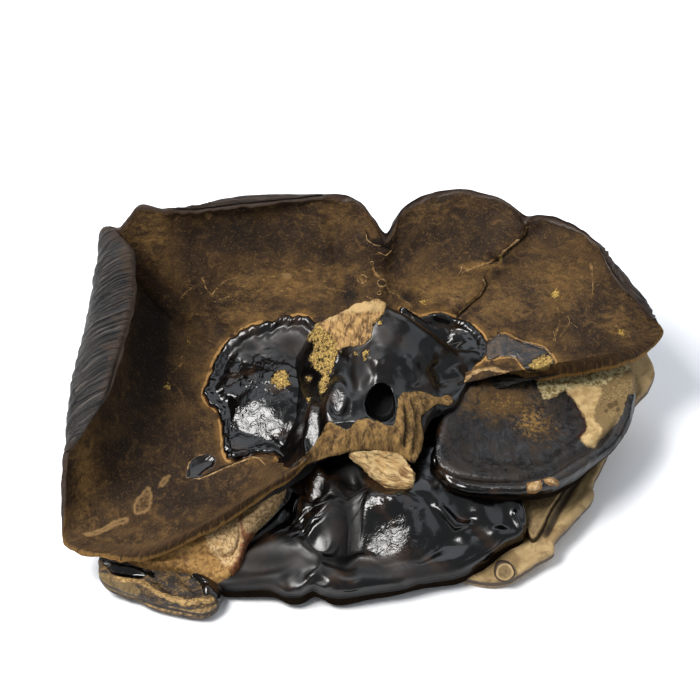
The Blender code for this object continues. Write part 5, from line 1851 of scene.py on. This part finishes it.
def make_chunk():
    """The broken pale chunk under the stem."""
    grid = lobe_grid(CHUNK, CHUNK_HUB, 28, 60, 30.0)
    normals = normals_of(grid)
    relief = 0.6 * grain(grid, 8.0, 151, 2) + 0.9 * np.abs(grain(grid * np.array([0.5, 1.0, 1.4]), 3.5, 152, 2))
    grid = grid + normals * (relief * ends_kept(grid))[..., None]
    skin_piece("chunk", [grid], {}, [chunk_look()])


def make_under_mass():
    """The grown mass under the middle, which is hardly seen."""
    grid = lobe_grid(UNDER_MASS, UNDER_HUB, 12, 60, -1.5)
    normals = normals_of(grid)
    grid = above_ground(grid + normals * (0.8 * grain(grid, 12.0, 161, 3) * ends_kept(grid))[..., None])
    skin_piece("under_mass", [grid], {}, [dark_look()])


def make_floor():
    mesh = bpy.data.meshes.new("floor")
    side = 4.0
    mesh.from_pydata([(-side, -side, 0), (side, -side, 0), (side, side, 0), (-side, side, 0)], [], [(0, 1, 2, 3)])
    look = Look("floor")
    mesh.materials.append(look.finish((tone(250, 250, 252), 0.6, 0.0)))
    floor = bpy.data.objects.new("floor", mesh)
    bpy.context.scene.collection.objects.link(floor)


def add_panel(name, place, aim, width, height, power, colour):
    """A soft light panel that faces a point."""
    light = bpy.data.lights.new(name, "AREA")
    light.shape = "RECTANGLE"
    light.size, light.size_y = width, height
    light.energy = power
    light.color = colour
    panel = bpy.data.objects.new(name, light)
    panel.location = place
    panel.rotation_mode = "QUATERNION"
    panel.rotation_quaternion = (Vector(aim) - Vector(place)).to_track_quat("-Z", "Y")
    bpy.context.scene.collection.objects.link(panel)


def make_lights():
    world = bpy.data.worlds.new("studio")
    world.use_nodes = True
    background = world.node_tree.nodes["Background"]
    background.inputs["Color"].default_value = (0.9, 0.95, 1.0, 1.0)
    background.inputs["Strength"].default_value = 0.38
    bpy.context.scene.world = world
    middle = (0.0, 0.0, 0.05)
    add_panel("key", (-0.63, -0.22, 1.17), middle, 0.66, 0.58, 25.5, (1.0, 0.99, 0.97))
    add_panel("back_sky", (-0.1, 1.2, 1.45), middle, 2.2, 1.3, 12.0, (0.86, 0.92, 1.0))
    add_panel("right_sky", (1.05, 0.1, 0.95), middle, 1.3, 0.9, 3.4, (0.86, 0.92, 1.0))


def make_camera():
    data = bpy.data.cameras.new("camera")
    data.sensor_width = SENSOR
    data.lens = SENSOR * CAMERA_DISTANCE / PIXEL_SIZE / PHOTO_SIDE
    camera = bpy.data.objects.new("camera", data)
    back = Vector((0.0, -math.cos(CAMERA_TILT), math.sin(CAMERA_TILT)))
    target = Vector((CAMERA_TARGET - SHIFT) * 0.001)
    camera.location = target + back * CAMERA_DISTANCE * 0.001
    camera.rotation_mode = "QUATERNION"
    camera.rotation_quaternion = (-back).to_track_quat("-Z", "Y")
    bpy.context.scene.collection.objects.link(camera)
    bpy.context.scene.camera = camera


make_camera()
make_lights()
make_floor()
cap_tree = make_cap()
make_coats(cap_tree)
make_ridges(cap_tree)
make_stem()
make_front_lobe()
make_right_lobe()
make_base_sheet()
make_small_lobe()
make_tissue()
make_chunk()
make_under_mass()
bpy.context.scene.view_settings.view_transform = "Standard"
